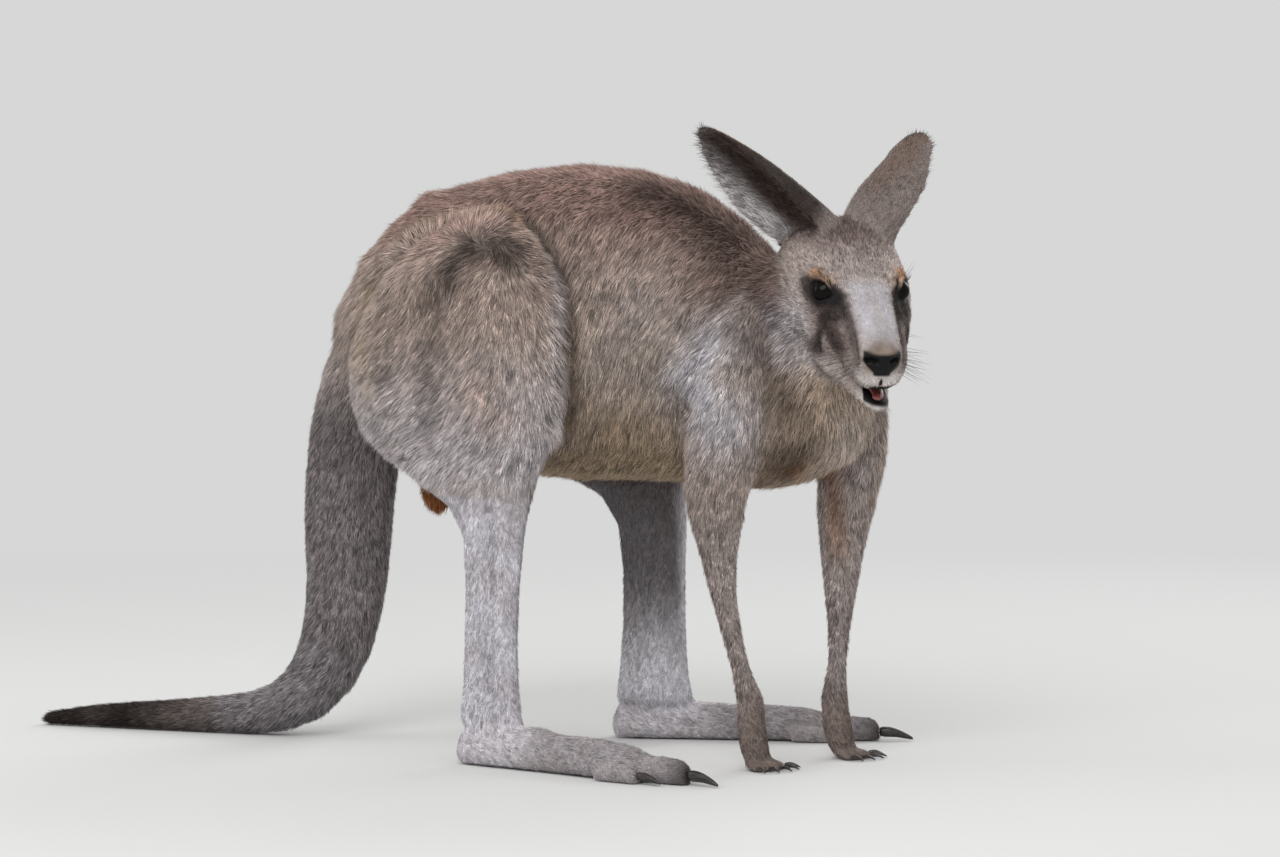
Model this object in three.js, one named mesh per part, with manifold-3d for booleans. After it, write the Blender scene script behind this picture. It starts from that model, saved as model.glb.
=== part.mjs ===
// A life-size grey kangaroo standing on its long hind feet, its hands and its tail,
// with the head turned to its right. Millimetres, +X towards the head, +Y its left, +Z up.
// The solids reach out to the tips of the coat. Each named part of the body is its own mesh.
import * as THREE from "three";
import { mergeVertices } from "three/addons/utils/BufferGeometryUtils.js";
import Module from "manifold-3d";

const wasm = await Module();
wasm.setup();

// ---------- driving sizes ----------
const GAP = 0.35; // clearance between neighbouring solids
const SHARPEST = 0.3; // how far a sharp corner moves to keep that clearance is held to the gap over this
const RIGHT = -1;
const LEFT = 1;
const SIDES = { right: RIGHT, left: LEFT };
const HEAD_LENGTH = 235; // back of the head to the tip of the nose
const EYE_RADIUS = 14;
const EAR_LENGTH = 160;
const EAR_HALF_WIDTH = 41.5;
const FOOT_LENGTH = 240; // heel to the root of the long toe
const CHEST_MIDDLE = 15; // the forebody bends this far to the left
const LEG_STAGGER = 52; // how far the left shank stands ahead of the right

const at = (x, y, z) => new THREE.Vector3(x, y, z);
const radians = THREE.MathUtils.degToRad;
const UP = at(0, 0, 1);
const LEFTWARD = at(0, 1, 0);

// ---------- body forms ----------

// A row of stations as smooth curves: centre (x, y, z) and the ring's reach (up, down, side).
function smoothRow(stations) {
  const curve = (first) =>
    new THREE.CatmullRomCurve3(
      stations.map((s) => at(s[first], s[first + 1], s[first + 2])),
      false,
      "catmullrom",
      0.5,
    );
  return { centre: curve(0), reach: curve(3) };
}

// How a ring stands at a station: its "up" and "left" directions and the way its cut end faces.
const poses = {
  // upright rings that face where the row is heading, for the trunk, feet, toes and fingers
  upright: (tangent) => {
    const ahead = at(tangent.x, tangent.y, 0).normalize();
    return { up: UP.clone(), left: UP.clone().cross(ahead), ahead };
  },
  // level rings for legs, whose "up" is the limb's front
  level: (tangent, heading) => {
    const up = at(Math.cos(heading), Math.sin(heading), 0);
    return { up, left: UP.clone().cross(up), ahead: at(0, 0, Math.sign(tangent.z)) };
  },
  // rings square to the row, for tail, neck and head
  square: (tangent) => {
    const left = LEFTWARD.clone().addScaledVector(tangent, -LEFTWARD.dot(tangent)).normalize();
    return { up: tangent.clone().cross(left), left, ahead: tangent.clone() };
  },
};

// Rises and hollows on a form: each pushes the skin out (or in) near a line from one place to another.
function risen(point, away, features) {
  let push = 0;
  for (const { from, to = from, spread, height } of features) {
    const near = new THREE.Line3(from, to).closestPointToPoint(point, true, at(0, 0, 0));
    push += height * Math.exp(-((near.distanceTo(point) / spread) ** 2));
  }
  return point.addScaledVector(away, push);
}

// The rings of a form from station a to station b, rounded off where an end is not joined.
function ringsOf(form, a, b, roundStart, roundEnd) {
  const { stations, rings, sides, pose = "square", features = [] } = form;
  const { heading = () => 0, squareness = 1, floor = false, capRings = 2 } = form;
  const { centre, reach } = smoothRow(stations);
  const last = stations.length - 1;
  const made = [];
  const ring = (t, size, shift) => {
    const middle = centre.getPoint(t);
    const radius = reach.getPoint(t);
    const frame = poses[pose](centre.getTangent(t), heading(t));
    middle.addScaledVector(frame.ahead, shift);
    return Array.from({ length: sides }, (_, i) => {
      const angle = (2 * Math.PI * i) / sides;
      const c = Math.cos(angle);
      const s = Math.sin(angle);
      const bulk = (Math.abs(c) ** (2 * squareness) + Math.abs(s) ** (2 * squareness)) ** (-0.5 / squareness);
      const upward = s * (s > 0 ? radius.x : radius.y);
      const away = frame.left.clone().multiplyScalar(c * radius.z).addScaledVector(frame.up, upward);
      const point = middle.clone().addScaledVector(away, size * bulk);
      risen(point, away.normalize(), features);
      if (floor) point.z = Math.max(0, point.z);
      return point;
    });
  };
  const cap = (t, sense) => {
    const radius = reach.getPoint(t);
    const bulge = form.bulge ?? Math.min(radius.x + radius.y, 2 * radius.z) / 2;
    return Array.from({ length: capRings }, (_, k) => {
      const turn = (Math.PI / 2) * ((k + 0.85) / (capRings + 0.35));
      return ring(t, Math.cos(turn), sense * bulge * Math.sin(turn));
    });
  };
  const [start, end] = [a / last, b / last];
  const count = Math.max(1, Math.round((rings * (b - a)) / last));
  if (roundStart) made.push(...cap(start, -1).reverse());
  for (let i = 0; i <= count; i++) made.push(ring(start + ((end - start) * i) / count, 1, 0));
  if (roundEnd) made.push(...cap(end, 1));
  return made;
}

// A closed geometry from rings of equal length, with a fan over each end.
function closedSkin(rings) {
  const sides = rings[0].length;
  const places = rings.flat();
  const faces = [];
  for (let r = 0; r + 1 < rings.length; r++) {
    for (let i = 0; i < sides; i++) {
      const j = (i + 1) % sides;
      const [p, q] = [r * sides, (r + 1) * sides];
      faces.push(p + i, p + j, q + j, p + i, q + j, q + i);
    }
  }
  for (const [first, flip] of [[0, true], [(rings.length - 1) * sides, false]]) {
    const middle = at(0, 0, 0);
    for (let i = 0; i < sides; i++) middle.addScaledVector(places[first + i], 1 / sides);
    const hub = places.push(middle) - 1;
    for (let i = 0; i < sides; i++) {
      const j = (i + 1) % sides;
      faces.push(hub, first + (flip ? j : i), first + (flip ? i : j));
    }
  }
  const geometry = new THREE.BufferGeometry().setFromPoints(places);
  return geometry.setIndex(faces);
}

// The part of a form between two stations as a closed skin, pulled in a little where it is cut.
function length(form, a, b, { roundStart = a === 0, roundEnd = b === form.stations.length - 1 } = {}) {
  const rings = ringsOf(form, a, b, roundStart, roundEnd);
  const pull = (ring, next) => {
    const way = at(0, 0, 0);
    ring.forEach((p, i) => way.addScaledVector(next[i].clone().sub(p), 1 / ring.length));
    ring.forEach((p) => p.addScaledVector(way.clone().normalize(), GAP / 2));
  };
  if (!roundStart) pull(rings[0], rings[1]);
  if (!roundEnd) pull(rings.at(-1), rings.at(-2));
  return closedSkin(rings);
}

// ---------- solids ----------

// A closed geometry as a solid, its faces turned to point out.
function toSolid(geometry) {
  const bare = new THREE.BufferGeometry().setAttribute("position", geometry.getAttribute("position"));
  const merged = mergeVertices(bare.setIndex(geometry.index), 1e-3);
  const vertProperties = new Float32Array(merged.attributes.position.array);
  const triVerts = new Uint32Array(merged.index.array);
  const made = new wasm.Manifold(new wasm.Mesh({ numProp: 3, vertProperties, triVerts }));
  if (made.volume() > 0) return made;
  for (let i = 0; i < triVerts.length; i += 3) {
    [triVerts[i + 1], triVerts[i + 2]] = [triVerts[i + 2], triVerts[i + 1]];
  }
  return new wasm.Manifold(new wasm.Mesh({ numProp: 3, vertProperties, triVerts }));
}

function toGeometry(solid) {
  const mesh = solid.getMesh();
  return new THREE.BufferGeometry()
    .setAttribute("position", new THREE.BufferAttribute(new Float32Array(mesh.vertProperties), 3))
    .setIndex(new THREE.BufferAttribute(new Uint32Array(mesh.triVerts), 1));
}

// A solid swollen by the gap: every corner moves out until it clears the faces that meet there.
function swollen(solid) {
  const geometry = toGeometry(solid);
  const { position } = geometry.attributes;
  const corners = Array.from({ length: position.count }, (_, i) => at(0, 0, 0).fromBufferAttribute(position, i));
  const meeting = corners.map(() => []);
  const { index } = geometry;
  for (let i = 0; i < index.count; i += 3) {
    const face = [0, 1, 2].map((k) => index.getX(i + k));
    const [a, b, c] = face.map((k) => corners[k]);
    const normal = new THREE.Triangle(a, b, c).getNormal(at(0, 0, 0));
    face.forEach((k, turn) => {
      const before = corners[face[(turn + 2) % 3]].clone().sub(corners[k]);
      const after = corners[face[(turn + 1) % 3]].clone().sub(corners[k]);
      meeting[k].push({ normal, angle: before.angleTo(after) });
    });
  }
  corners.forEach((corner, i) => {
    const away = at(0, 0, 0);
    meeting[i].forEach(({ normal, angle }) => away.addScaledVector(normal, angle));
    away.normalize();
    const steepest = Math.min(...meeting[i].map(({ normal }) => normal.dot(away)));
    const moved = corner.clone().addScaledVector(away, GAP / Math.max(SHARPEST, steepest));
    position.setXYZ(i, moved.x, moved.y, moved.z);
  });
  return toSolid(geometry);
}

// What is left of a solid beside its neighbours, as its one largest body.
function beside(solid, neighbours) {
  const left = neighbours.reduce((rest, n) => rest.subtract(swollen(n)), solid);
  return left.decompose().reduce((big, s) => (s.volume() > big.volume() ? s : big));
}

const body = new THREE.Group();
const finishes = {
  coat: { color: 0x857a70, roughness: 0.95 },
  back: { color: 0x6e5f55, roughness: 0.95 },
  pale: { color: 0xa39c93, roughness: 0.95 },
  dark: { color: 0x3a3430, roughness: 0.9 },
  rust: { color: 0x9a5a2c, roughness: 0.95 },
  bare: { color: 0x2a2626, roughness: 0.5 },
  claw: { color: 0x1b1817, roughness: 0.35 },
  eye: { color: 0x17100c, roughness: 0.05 },
  tongue: { color: 0xb06060, roughness: 0.4 },
};
const materials = Object.fromEntries(
  Object.entries(finishes).map(([name, look]) => [name, new THREE.MeshStandardMaterial({ ...look, metalness: 0 })]),
);

function add(name, solid, finish) {
  const mesh = new THREE.Mesh(toGeometry(solid), materials[finish]);
  mesh.name = name;
  body.add(mesh);
  return solid;
}

// ---------- trunk ----------
// Upright rings from rump to chest: place along and across, top, bottom and half width.
const ring = (x, y, top, bottom, side) => {
  const middle = bottom + (top - bottom) * 0.46;
  return [x, y, middle, top - middle, middle - bottom, side];
};
const trunkForm = {
  pose: "upright",
  rings: 11,
  sides: 16,
  squareness: 1.05,
  bulge: 24,
  stations: [
    ring(-238, 0, 505, 400, 48),
    ring(-208, 0, 560, 360, 76),
    ring(-150, 0, 611, 330, 98),
    ring(-60, 0, 638, 306, 112),
    ring(40, 2, 650, 298, 120),
    ring(130, 6, 641, 299, 121),
    ring(205, 10, 614, 296, 112),
    ring(262, CHEST_MIDDLE, 566, 292, 103),
    ring(315, CHEST_MIDDLE + 2, 505, 300, 94),
    ring(358, CHEST_MIDDLE + 4, 462, 322, 74),
  ],
};

// ---------- hind legs ----------
// Level rings from hip to hock: the height, the front and back edges, and the thickness across.
function hindLeg(side) {
  const isLeft = side === LEFT;
  const hock = isLeft ? 126 : 150;
  const slice = (z, front, back, spread, thick) => {
    const ahead = isLeft ? LEG_STAGGER * THREE.MathUtils.smoothstep(600 - z, 0, 300) : 0;
    const half = ((front - back) / 2) * (isLeft && z < 260 ? 1.12 : 1);
    return [(front + back) / 2 + ahead, side * THREE.MathUtils.lerp(94, hock, spread), z, half, half, thick];
  };
  const hollow = (across) => {
    const line = (z) => at(10 + (isLeft ? LEG_STAGGER : 0), side * (hock + across), z);
    return { from: line(205), to: line(45), spread: 13, height: -7 };
  };
  return {
    pose: "level",
    rings: 14,
    sides: 14,
    squareness: 1.05,
    bulge: 9,
    capRings: 1,
    heading: (t) => side * radians(isLeft ? 4 + 16 * t : 16 * t - 4),
    features: [hollow(26), hollow(-26), { from: at(-70, side * 160, 478), spread: 60, height: -7 }],
    stations: [
      slice(592, 28, -22, 0, 22),
      slice(562, 62, -96, 0.05, 44),
      slice(520, 84, -144, 0.14, 54),
      slice(470, 91, -172, 0.18, 57),
      slice(425, 94, -184, 0.25, 57),
      slice(373, 92, -175, 0.35, 54),
      slice(340, 84, -152, 0.45, 51),
      slice(312, 70, -104, 0.58, 46),
      slice(285, 63, -50, 0.72, 39),
      slice(255, 59, -18, 0.85, 31),
      slice(205, 57, -11, 0.95, 25),
      slice(140, 56, -11, 1, 23),
      slice(85, 58, -14, 1, 23.5),
      slice(45, 63, -18, 1, 27),
    ],
  };
}
const KNEE = 7.4; // the station at which thigh and shank part

// ---------- hind feet ----------
// A foot lies along its own heading, flat on the floor.
const footStands = {
  [RIGHT]: { heel: at(-4, -150, 0), heading: radians(-9) },
  [LEFT]: { heel: at(34, 125, 0), heading: radians(21) },
};

// A place on a foot: distance ahead of the heel, across it (outwards is positive) and height.
function onFoot(side, along, outwards, z) {
  const { heel, heading } = footStands[side];
  const ahead = at(Math.cos(heading), Math.sin(heading), 0);
  const outward = UP.clone().cross(ahead).multiplyScalar(side);
  return heel.clone().addScaledVector(ahead, along).addScaledVector(outward, outwards).setZ(z);
}

// Stations of a form that lies on the floor: distance ahead, outwards, full height and half width.
function lyingRow(side, rows) {
  return rows.map(([along, outwards, height, half]) => {
    const p = onFoot(side, along, outwards, height * 0.36);
    return [p.x, p.y, p.z, height * 0.64, height * 0.5, half];
  });
}

const footForm = (side) => ({
  pose: "upright",
  rings: 7,
  sides: 10,
  squareness: 1.15,
  bulge: 14,
  floor: true,
  stations: lyingRow(side, [
    [2, 0, 42, 22],
    [26, 0, 52, 26],
    [58, 0, 48, 26],
    [105, 0, 41, 25],
    [155, 0, 41, 27],
    [205, 1, 38, 29],
    [FOOT_LENGTH, 2, 30, 15],
  ]),
});

// Toes and their claws, as distances along and across the foot (outwards is positive).
const TOES = {
  fourth: { from: FOOT_LENGTH, to: 292, across: 2, height: 29, half: 14.5, claw: 38, clawHalf: 6.5, claws: [0] },
  fifth: { from: 192, to: 246, across: 27, height: 24, half: 11, claw: 29, clawHalf: 5, claws: [0] },
  joined: { from: 194, to: 240, across: -25, height: 20, half: 9, claw: 17, clawHalf: 2.6, claws: [-4, 4] },
};

const toeForm = (side, { from, to, across, height, half }) => ({
  pose: "upright",
  rings: 3,
  sides: 8,
  squareness: 1.1,
  capRings: 0,
  floor: true,
  stations: lyingRow(side, [
    [from, across, height, half],
    [from + (to - from) * 0.5, across, height, half * 1.04],
    [to - 6, across, height * 0.9, half * 0.9],
    [to, across, height * 0.66, half * 0.62],
  ]),
});

// A claw grows out of the toe's blunt end: share of its length, height and share of its thickness.
const clawForm = (side, { to, across, height, claw, clawHalf }, offset) => ({
  pose: "upright",
  rings: 2,
  sides: 5,
  capRings: 0,
  floor: true,
  stations: [
    [0, height * 0.36, 1],
    [0.5, height * 0.34, 0.8],
    [1, 3, 0.28],
  ].map(([share, z, size]) => {
    const p = onFoot(side, to + GAP + claw * share, across + offset, z);
    return [p.x, p.y, p.z, clawHalf * 1.25 * size, clawHalf * 1.25 * size, clawHalf * size];
  }),
});

// ---------- arms ----------
// Level rings from shoulder to wrist: the height, the middle along and across, half length and half width.
const ARM_SPREAD = { shoulder: 86, wrist: 62 };
const SHOULDER_LEAN = 20; // the top of the arm leans in this far against the chest
const armRows = {
  [RIGHT]: [
    [498, 282, 26],
    [462, 274, 42],
    [393, 269, 47],
    [340, 260, 45],
    [300, 251, 39],
    [268, 247, 31],
    [235, 249, 23],
    [200, 251, 17],
    [155, 259, 13],
    [110, 270, 11],
    [74, 281, 16],
  ],
  [LEFT]: [
    [498, 300, 26],
    [462, 312, 42],
    [393, 325, 48],
    [340, 330, 47],
    [300, 331, 39],
    [268, 328, 33],
    [235, 326, 27],
    [200, 325, 22],
    [155, 325, 15],
    [105, 324, 11],
    [66, 322, 16],
  ],
};
function armForm(side) {
  const rows = armRows[side];
  const drop = (z) => (rows[0][0] - z) / (rows[0][0] - rows.at(-1)[0]);
  return {
    pose: "level",
    rings: 12,
    sides: 10,
    bulge: 10,
    capRings: 1,
    heading: () => radians(side === LEFT ? -10 : 8),
    stations: rows.map(([z, x, half]) => {
      const lean = SHOULDER_LEAN * THREE.MathUtils.smoothstep(z, 370, 498);
      const spread = THREE.MathUtils.lerp(ARM_SPREAD.shoulder, ARM_SPREAD.wrist, drop(z) ** 1.5) - lean;
      return [x, CHEST_MIDDLE + side * spread, z, half, half, Math.min(half, 12 + half * 0.62)];
    }),
  };
}
const ELBOW = 4.7; // the station at which upper arm and forearm part

// ---------- hands ----------
// The palm drops from the wrist to the floor, and five fingers fan out ahead of it.
const handHeading = { [RIGHT]: radians(-14), [LEFT]: radians(4) };
const FINGERS = [-2, -1, 0, 1, 2]; // from the inside of the hand to the outside
const FINGER_LENGTHS = [20, 29, 33, 30, 22];

function onHand(side, along, outwards, z) {
  const [height, x] = armRows[side].at(-1);
  const ahead = at(Math.cos(handHeading[side]), Math.sin(handHeading[side]), 0);
  const outward = UP.clone().cross(ahead).multiplyScalar(side);
  const wrist = at(x, CHEST_MIDDLE + side * ARM_SPREAD.wrist, height);
  return wrist.addScaledVector(ahead, along).addScaledVector(outward, outwards).setZ(z);
}

const handStations = (side, rows) =>
  rows.map(([along, outwards, z, deep, wide]) => {
    const p = onHand(side, along, outwards, z);
    return [p.x, p.y, p.z, deep, deep, wide];
  });

const palmForm = (side) => ({
  rings: 4,
  sides: 8,
  bulge: 12,
  capRings: 1,
  floor: true,
  stations: handStations(side, [
    [0, 0, armRows[side].at(-1)[0] - GAP, 15, 16],
    [2, 0, 46, 16, 18],
    [5, 0, 26, 16, 20],
    [12, 0, 8, 12, 20],
  ]),
});

function fingerForms(side, k) {
  const long = FINGER_LENGTHS[k];
  const row = (along, z, radius) => [8 + along, FINGERS[k] * (7.5 + along * 0.2), z, radius, radius * 1.05];
  const finger = [row(0, 9, 5), row(long * 0.7, 4.2, 5.2), row(long, 3.2, 4)];
  const claw = [row(long + GAP, 4, 3), row(long + 9, 5.6, 2.4), row(long + 17, 2, 1)];
  const shared = { pose: "upright", rings: 2, capRings: 0, floor: true };
  return [
    { ...shared, sides: 6, stations: handStations(side, finger) },
    { ...shared, sides: 5, stations: handStations(side, claw) },
  ];
}

// ---------- tail ----------
// It hangs from the rump, bends where it meets the floor and lies out behind.
const round = (x, y, z, r) => [x, y, z, r, r, r];
const tailForm = {
  rings: 22,
  sides: 10,
  bulge: 8,
  capRings: 1,
  floor: true,
  stations: [
    round(-172, 0, 470, 54),
    round(-212, -1, 420, 60),
    round(-236, -2, 360, 57),
    round(-247, -4, 298, 54.5),
    round(-249, -8, 235, 52.5),
    round(-248, -14, 172, 48),
    round(-256, -23, 108, 43.5),
    round(-282, -33, 57, 38),
    round(-330, -43, 29, 29.5),
    round(-390, -54, 22, 23),
    round(-455, -64, 18, 19.5),
    round(-520, -74, 15, 16),
    round(-575, -82, 11.5, 12.5),
    round(-612, -88, 8, 9),
  ],
};
const TAIL_CUTS = [0, 3, 6, 9, 13];

// ---------- head ----------
// Its own frame: the tip of the nose at the origin, +X out of the nose, +Z towards the forehead.
const NOSE_TIP = at(470, -120, 441);
const HEAD_YAW = radians(-48);
const HEAD_PITCH = radians(23);
const headTurn = new THREE.Matrix4()
  .makeRotationFromEuler(new THREE.Euler(0, HEAD_PITCH, HEAD_YAW, "ZYX"))
  .setPosition(NOSE_TIP);
const onHead = (x, y, z) => at(x, y, z).applyMatrix4(headTurn);
const both = (feature) => [LEFT, RIGHT].map((side) => feature(side));

// Stations from the back of the head to the nose: share of the length, top, bottom and half width.
const skull = (share, top, bottom, side) => {
  const middle = (top + bottom) / 2 + 4;
  return [share * HEAD_LENGTH, 0, middle, top - middle, middle - bottom, side];
};
const headForm = {
  rings: 12,
  sides: 16,
  squareness: 1.08,
  bulge: 9,
  features: [
    ...both((side) => ({ from: at(-118, side * 46, 48), to: at(-92, side * 42, 42), spread: 13, height: 6 })), // brow
    ...both((side) => ({ from: at(-101, side * 57, 26), spread: 15, height: -6 })), // socket
    ...both((side) => ({ from: at(-80, side * 44, 10), to: at(-60, side * 36, 2), spread: 12, height: -4 })), // tear line
    ...both((side) => ({ from: at(-40, side * 36, -16), to: at(-18, side * 28, -20), spread: 14, height: 3 })), // whiskers
  ],
  stations: [
    skull(-1, 56, -44, 46),
    skull(-0.88, 75, -70, 70),
    skull(-0.72, 70, -72, 71),
    skull(-0.58, 60, -63, 68),
    skull(-0.45, 50, -52, 60),
    skull(-0.34, 40, -46, 50),
    skull(-0.22, 27, -43, 39),
    skull(-0.11, 13, -42, 31),
    skull(-0.035, 1, -38, 23),
  ],
};
const jawForm = {
  rings: 6,
  sides: 12,
  bulge: 8,
  capRings: 1,
  stations: [
    [-186, 0, -46, 24, 34, 56],
    [-150, 0, -50, 24, 30, 53],
    [-100, 0, -52, 18, 21, 40],
    [-52, 1.5, -54, 12, 14, 26],
    [-30, 3.5, -58, 8.5, 11.5, 18.5],
    [-12, 5, -61, 5.5, 8, 12.5],
  ],
};
const tongueForm = {
  rings: 4,
  sides: 7,
  bulge: 4,
  capRings: 1,
  stations: [
    [-70, 0, -42, 5, 5, 12],
    [-40, 2.5, -47, 4, 4, 9.5],
    [-19, 4, -50, 3, 3, 7],
    [-9, 0, -50.5, 2.8, 2.8, 6],
  ],
};
// The bare pad round the nostrils.
const noseForm = {
  rings: 3,
  sides: 12,
  bulge: 4.5,
  capRings: 1,
  squareness: 1.15,
  features: both((side) => ({ from: at(1, side * 12, -8), spread: 5, height: -4 })),
  stations: [
    [-20, 0, -7, 17, 14, 17],
    [-11, 0, -8, 15, 14.5, 20],
    [-3, 0, -9, 12, 13, 17.5],
  ],
};

// ---------- ears ----------
// An ear is a rolled leaf: each ring is a crescent round the ear's hollow, open to one side.
const EARS = {
  [RIGHT]: { root: onHead(-196, -32, 57), ahead: at(-0.104, -0.058, 0.105), opening: at(-0.42, -0.85, -0.36) },
  [LEFT]: { root: onHead(-200, 32, 50), ahead: at(0.008, 0.11, 0.104), opening: at(0.24, 0.94, -0.2) },
};
function earSkin({ root, ahead, opening }) {
  const steps = 8;
  const points = 7;
  const along = ahead.clone().normalize();
  const open = opening.clone().addScaledVector(along, -opening.dot(along)).normalize();
  const across = open.clone().cross(along);
  const widths = new THREE.SplineCurve([0.8, 0.85, 0.95, 1, 0.92, 0.68, 0.2].map((w, i) => new THREE.Vector2(i, w)));
  const places = [];
  for (let i = 0; i <= steps; i++) {
    const t = i / steps;
    const half = EAR_HALF_WIDTH * widths.getPoint(t).y;
    const spread = radians(THREE.MathUtils.lerp(118, 52, t ** 0.7));
    const radius = half / Math.sin(Math.min(spread, Math.PI / 2));
    const thick = THREE.MathUtils.lerp(9, 5.5, t);
    const middle = root.clone().addScaledVector(along, (EAR_LENGTH + 14) * t - 14);
    middle.addScaledVector(open, radius - EAR_HALF_WIDTH * (0.75 - 0.55 * t * t));
    const place = (k, r) => {
      const turn = spread * ((2 * k) / (points - 1) - 1);
      return middle.clone().addScaledVector(across, r * Math.sin(turn)).addScaledVector(open, -r * Math.cos(turn));
    };
    for (let k = 0; k < points; k++) places.push(place(k, radius));
    for (let k = points - 1; k >= 0; k--) places.push(place(k, radius - thick));
  }
  const around = 2 * points;
  const faces = [];
  const quad = (a, b, c, d) => faces.push(a, b, c, a, c, d);
  for (let i = 0; i < steps; i++) {
    for (let k = 0; k < around; k++) {
      const next = (k + 1) % around;
      quad(i * around + k, i * around + next, (i + 1) * around + next, (i + 1) * around + k);
    }
  }
  for (let k = 0; k + 1 < points; k++) {
    const far = around - 1 - k;
    quad(k + 1, k, far, far - 1);
    const top = steps * around;
    quad(top + k, top + k + 1, top + far - 1, top + far);
  }
  return new THREE.BufferGeometry().setFromPoints(places).setIndex(faces);
}

// ---------- neck ----------
const neckForm = {
  rings: 4,
  sides: 12,
  bulge: 16,
  capRings: 1,
  stations: [
    [250, CHEST_MIDDLE, 425, 92, 100, 90],
    [288, CHEST_MIDDLE, 460, 80, 96, 86],
    [318, CHEST_MIDDLE - 4, 494, 66, 88, 80],
    [342, CHEST_MIDDLE - 10, 524, 54, 72, 72],
  ],
};

// ---------- assembly ----------
const whole = (form) => toSolid(length(form, 0, form.stations.length - 1));
const part = (form, a, b, ends) => toSolid(length(form, a, b, ends));
const turned = (solid) => toSolid(toGeometry(solid).applyMatrix4(headTurn));
function ball(radius, detail, middle) {
  const sphere = new THREE.IcosahedronGeometry(radius, detail).translate(middle.x, middle.y, middle.z);
  return toSolid(sphere);
}

const head = turned(whole(headForm));
const jaw = turned(whole(jawForm));
const tongue = turned(whole(tongueForm));
const nose = turned(whole(noseForm));
const eyes = [];
const ears = [];
for (const [name, side] of Object.entries(SIDES)) {
  const middle = onHead(-104, side * 38.5, 28);
  eyes.push(add("eye_" + name, ball(EYE_RADIUS, 1, middle), "eye"));
  ears.push(add("ear_" + name, toSolid(earSkin(EARS[side])), "back"));
}
add("nose", nose, "bare");
add("tongue", tongue, "tongue");
add("head", beside(head, [nose, tongue, ...eyes, ...ears]), "pale");
add("lower_jaw", beside(jaw, [head, tongue]), "pale");

const trunk = whole(trunkForm);
const thighs = [];
const upperArms = [];
for (const [name, side] of Object.entries(SIDES)) {
  const leg = hindLeg(side);
  const foot = part(footForm(side), 0, 6, { roundEnd: false });
  thighs.push(add("thigh_" + name, part(leg, 0, KNEE), "coat"));
  add("shank_" + name, beside(part(leg, KNEE, leg.stations.length - 1), [foot]), "pale");
  const toes = Object.entries(TOES).map(([toe, sizes]) => {
    sizes.claws.forEach((offset, k) =>
      add(["claw", toe, "toe", k + 1, name].join("_"), whole(clawForm(side, sizes, offset)), "claw"),
    );
    return add("toe_" + toe + "_" + name, part(toeForm(side, sizes), 0, 3, { roundStart: false }), "dark");
  });
  add("foot_" + name, beside(foot, toes), "pale");

  const limb = armForm(side);
  const wrist = limb.stations.length - 1;
  const upperArm = part(limb, 0, ELBOW);
  upperArms.push(upperArm);
  add("upper_arm_" + name, beside(upperArm, [head, jaw]), "coat");
  const forearm = add("forearm_" + name, part(limb, ELBOW, wrist, { roundEnd: false }), "coat");
  let hand = beside(part(palmForm(side), 0, 3, { roundStart: false }), [forearm]);
  FINGERS.forEach((_, k) => {
    const [finger, claw] = fingerForms(side, k);
    hand = hand.add(whole(finger));
    add("claw_finger_" + (k + 1) + "_" + name, whole(claw), "claw");
  });
  add("hand_" + name, hand, "dark");
}

add("trunk", beside(trunk, [...thighs, ...upperArms, head, jaw]), "coat");
const TAIL_NAMES = ["tail_root", "tail_upper", "tail_lower", "tail_tip"];
TAIL_NAMES.forEach((name, i) => {
  const piece = part(tailForm, TAIL_CUTS[i], TAIL_CUTS[i + 1]);
  add(name, beside(piece, i === 0 ? [trunk, ...thighs] : []), name === "tail_tip" ? "dark" : "coat");
});
const pouch = ball(1, 1, at(0, 0, 0)).scale([21, 18, 31]).translate([-131, -6, 289]);
add("scrotum", beside(pouch, [trunk, ...thighs]), "rust");
add("neck", beside(whole(neckForm), [trunk, head, jaw, ...upperArms, ...ears]), "coat");

// The origin is on the floor, below the middle of the whole animal.
const extent = new THREE.Box3().setFromObject(body);
const middle = extent.getCenter(at(0, 0, 0));
body.position.set(-middle.x, -middle.y, -extent.min.z);

export default body;
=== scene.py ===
"""The looks of a still, life-size grey kangaroo: one skin over all the flesh, a coat of tufts over the
skin, and eyes, claws, tongue, whiskers and lashes. Metres, +X the way the body faces, +Z up.
Sizes on the animal are written in millimetres and turned into metres by MM."""

import math

import bmesh
import bpy
import numpy as np
from mathutils.bvhtree import BVHTree
from mathutils.kdtree import KDTree
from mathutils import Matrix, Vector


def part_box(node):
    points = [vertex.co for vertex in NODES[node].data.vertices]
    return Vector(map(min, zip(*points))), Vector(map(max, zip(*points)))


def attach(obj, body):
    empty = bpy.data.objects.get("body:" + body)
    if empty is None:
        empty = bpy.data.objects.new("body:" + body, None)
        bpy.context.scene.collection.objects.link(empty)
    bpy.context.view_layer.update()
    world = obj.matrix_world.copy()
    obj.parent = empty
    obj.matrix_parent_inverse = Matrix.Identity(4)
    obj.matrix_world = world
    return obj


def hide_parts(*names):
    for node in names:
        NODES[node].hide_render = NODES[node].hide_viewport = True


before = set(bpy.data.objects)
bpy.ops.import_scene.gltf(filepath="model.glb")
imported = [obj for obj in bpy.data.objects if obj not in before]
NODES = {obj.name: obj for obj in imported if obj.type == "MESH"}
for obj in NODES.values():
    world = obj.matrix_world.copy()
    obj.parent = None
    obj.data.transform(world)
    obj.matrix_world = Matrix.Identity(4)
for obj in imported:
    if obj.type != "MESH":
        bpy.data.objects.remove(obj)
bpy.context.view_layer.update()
MM = 0.001
SIDES = {"right": -1, "left": 1}

# ---------- places ----------


def centre(node):
    """The middle of a CAD node's box."""
    low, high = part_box(node)
    return np.array((low + high) / 2)


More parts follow.
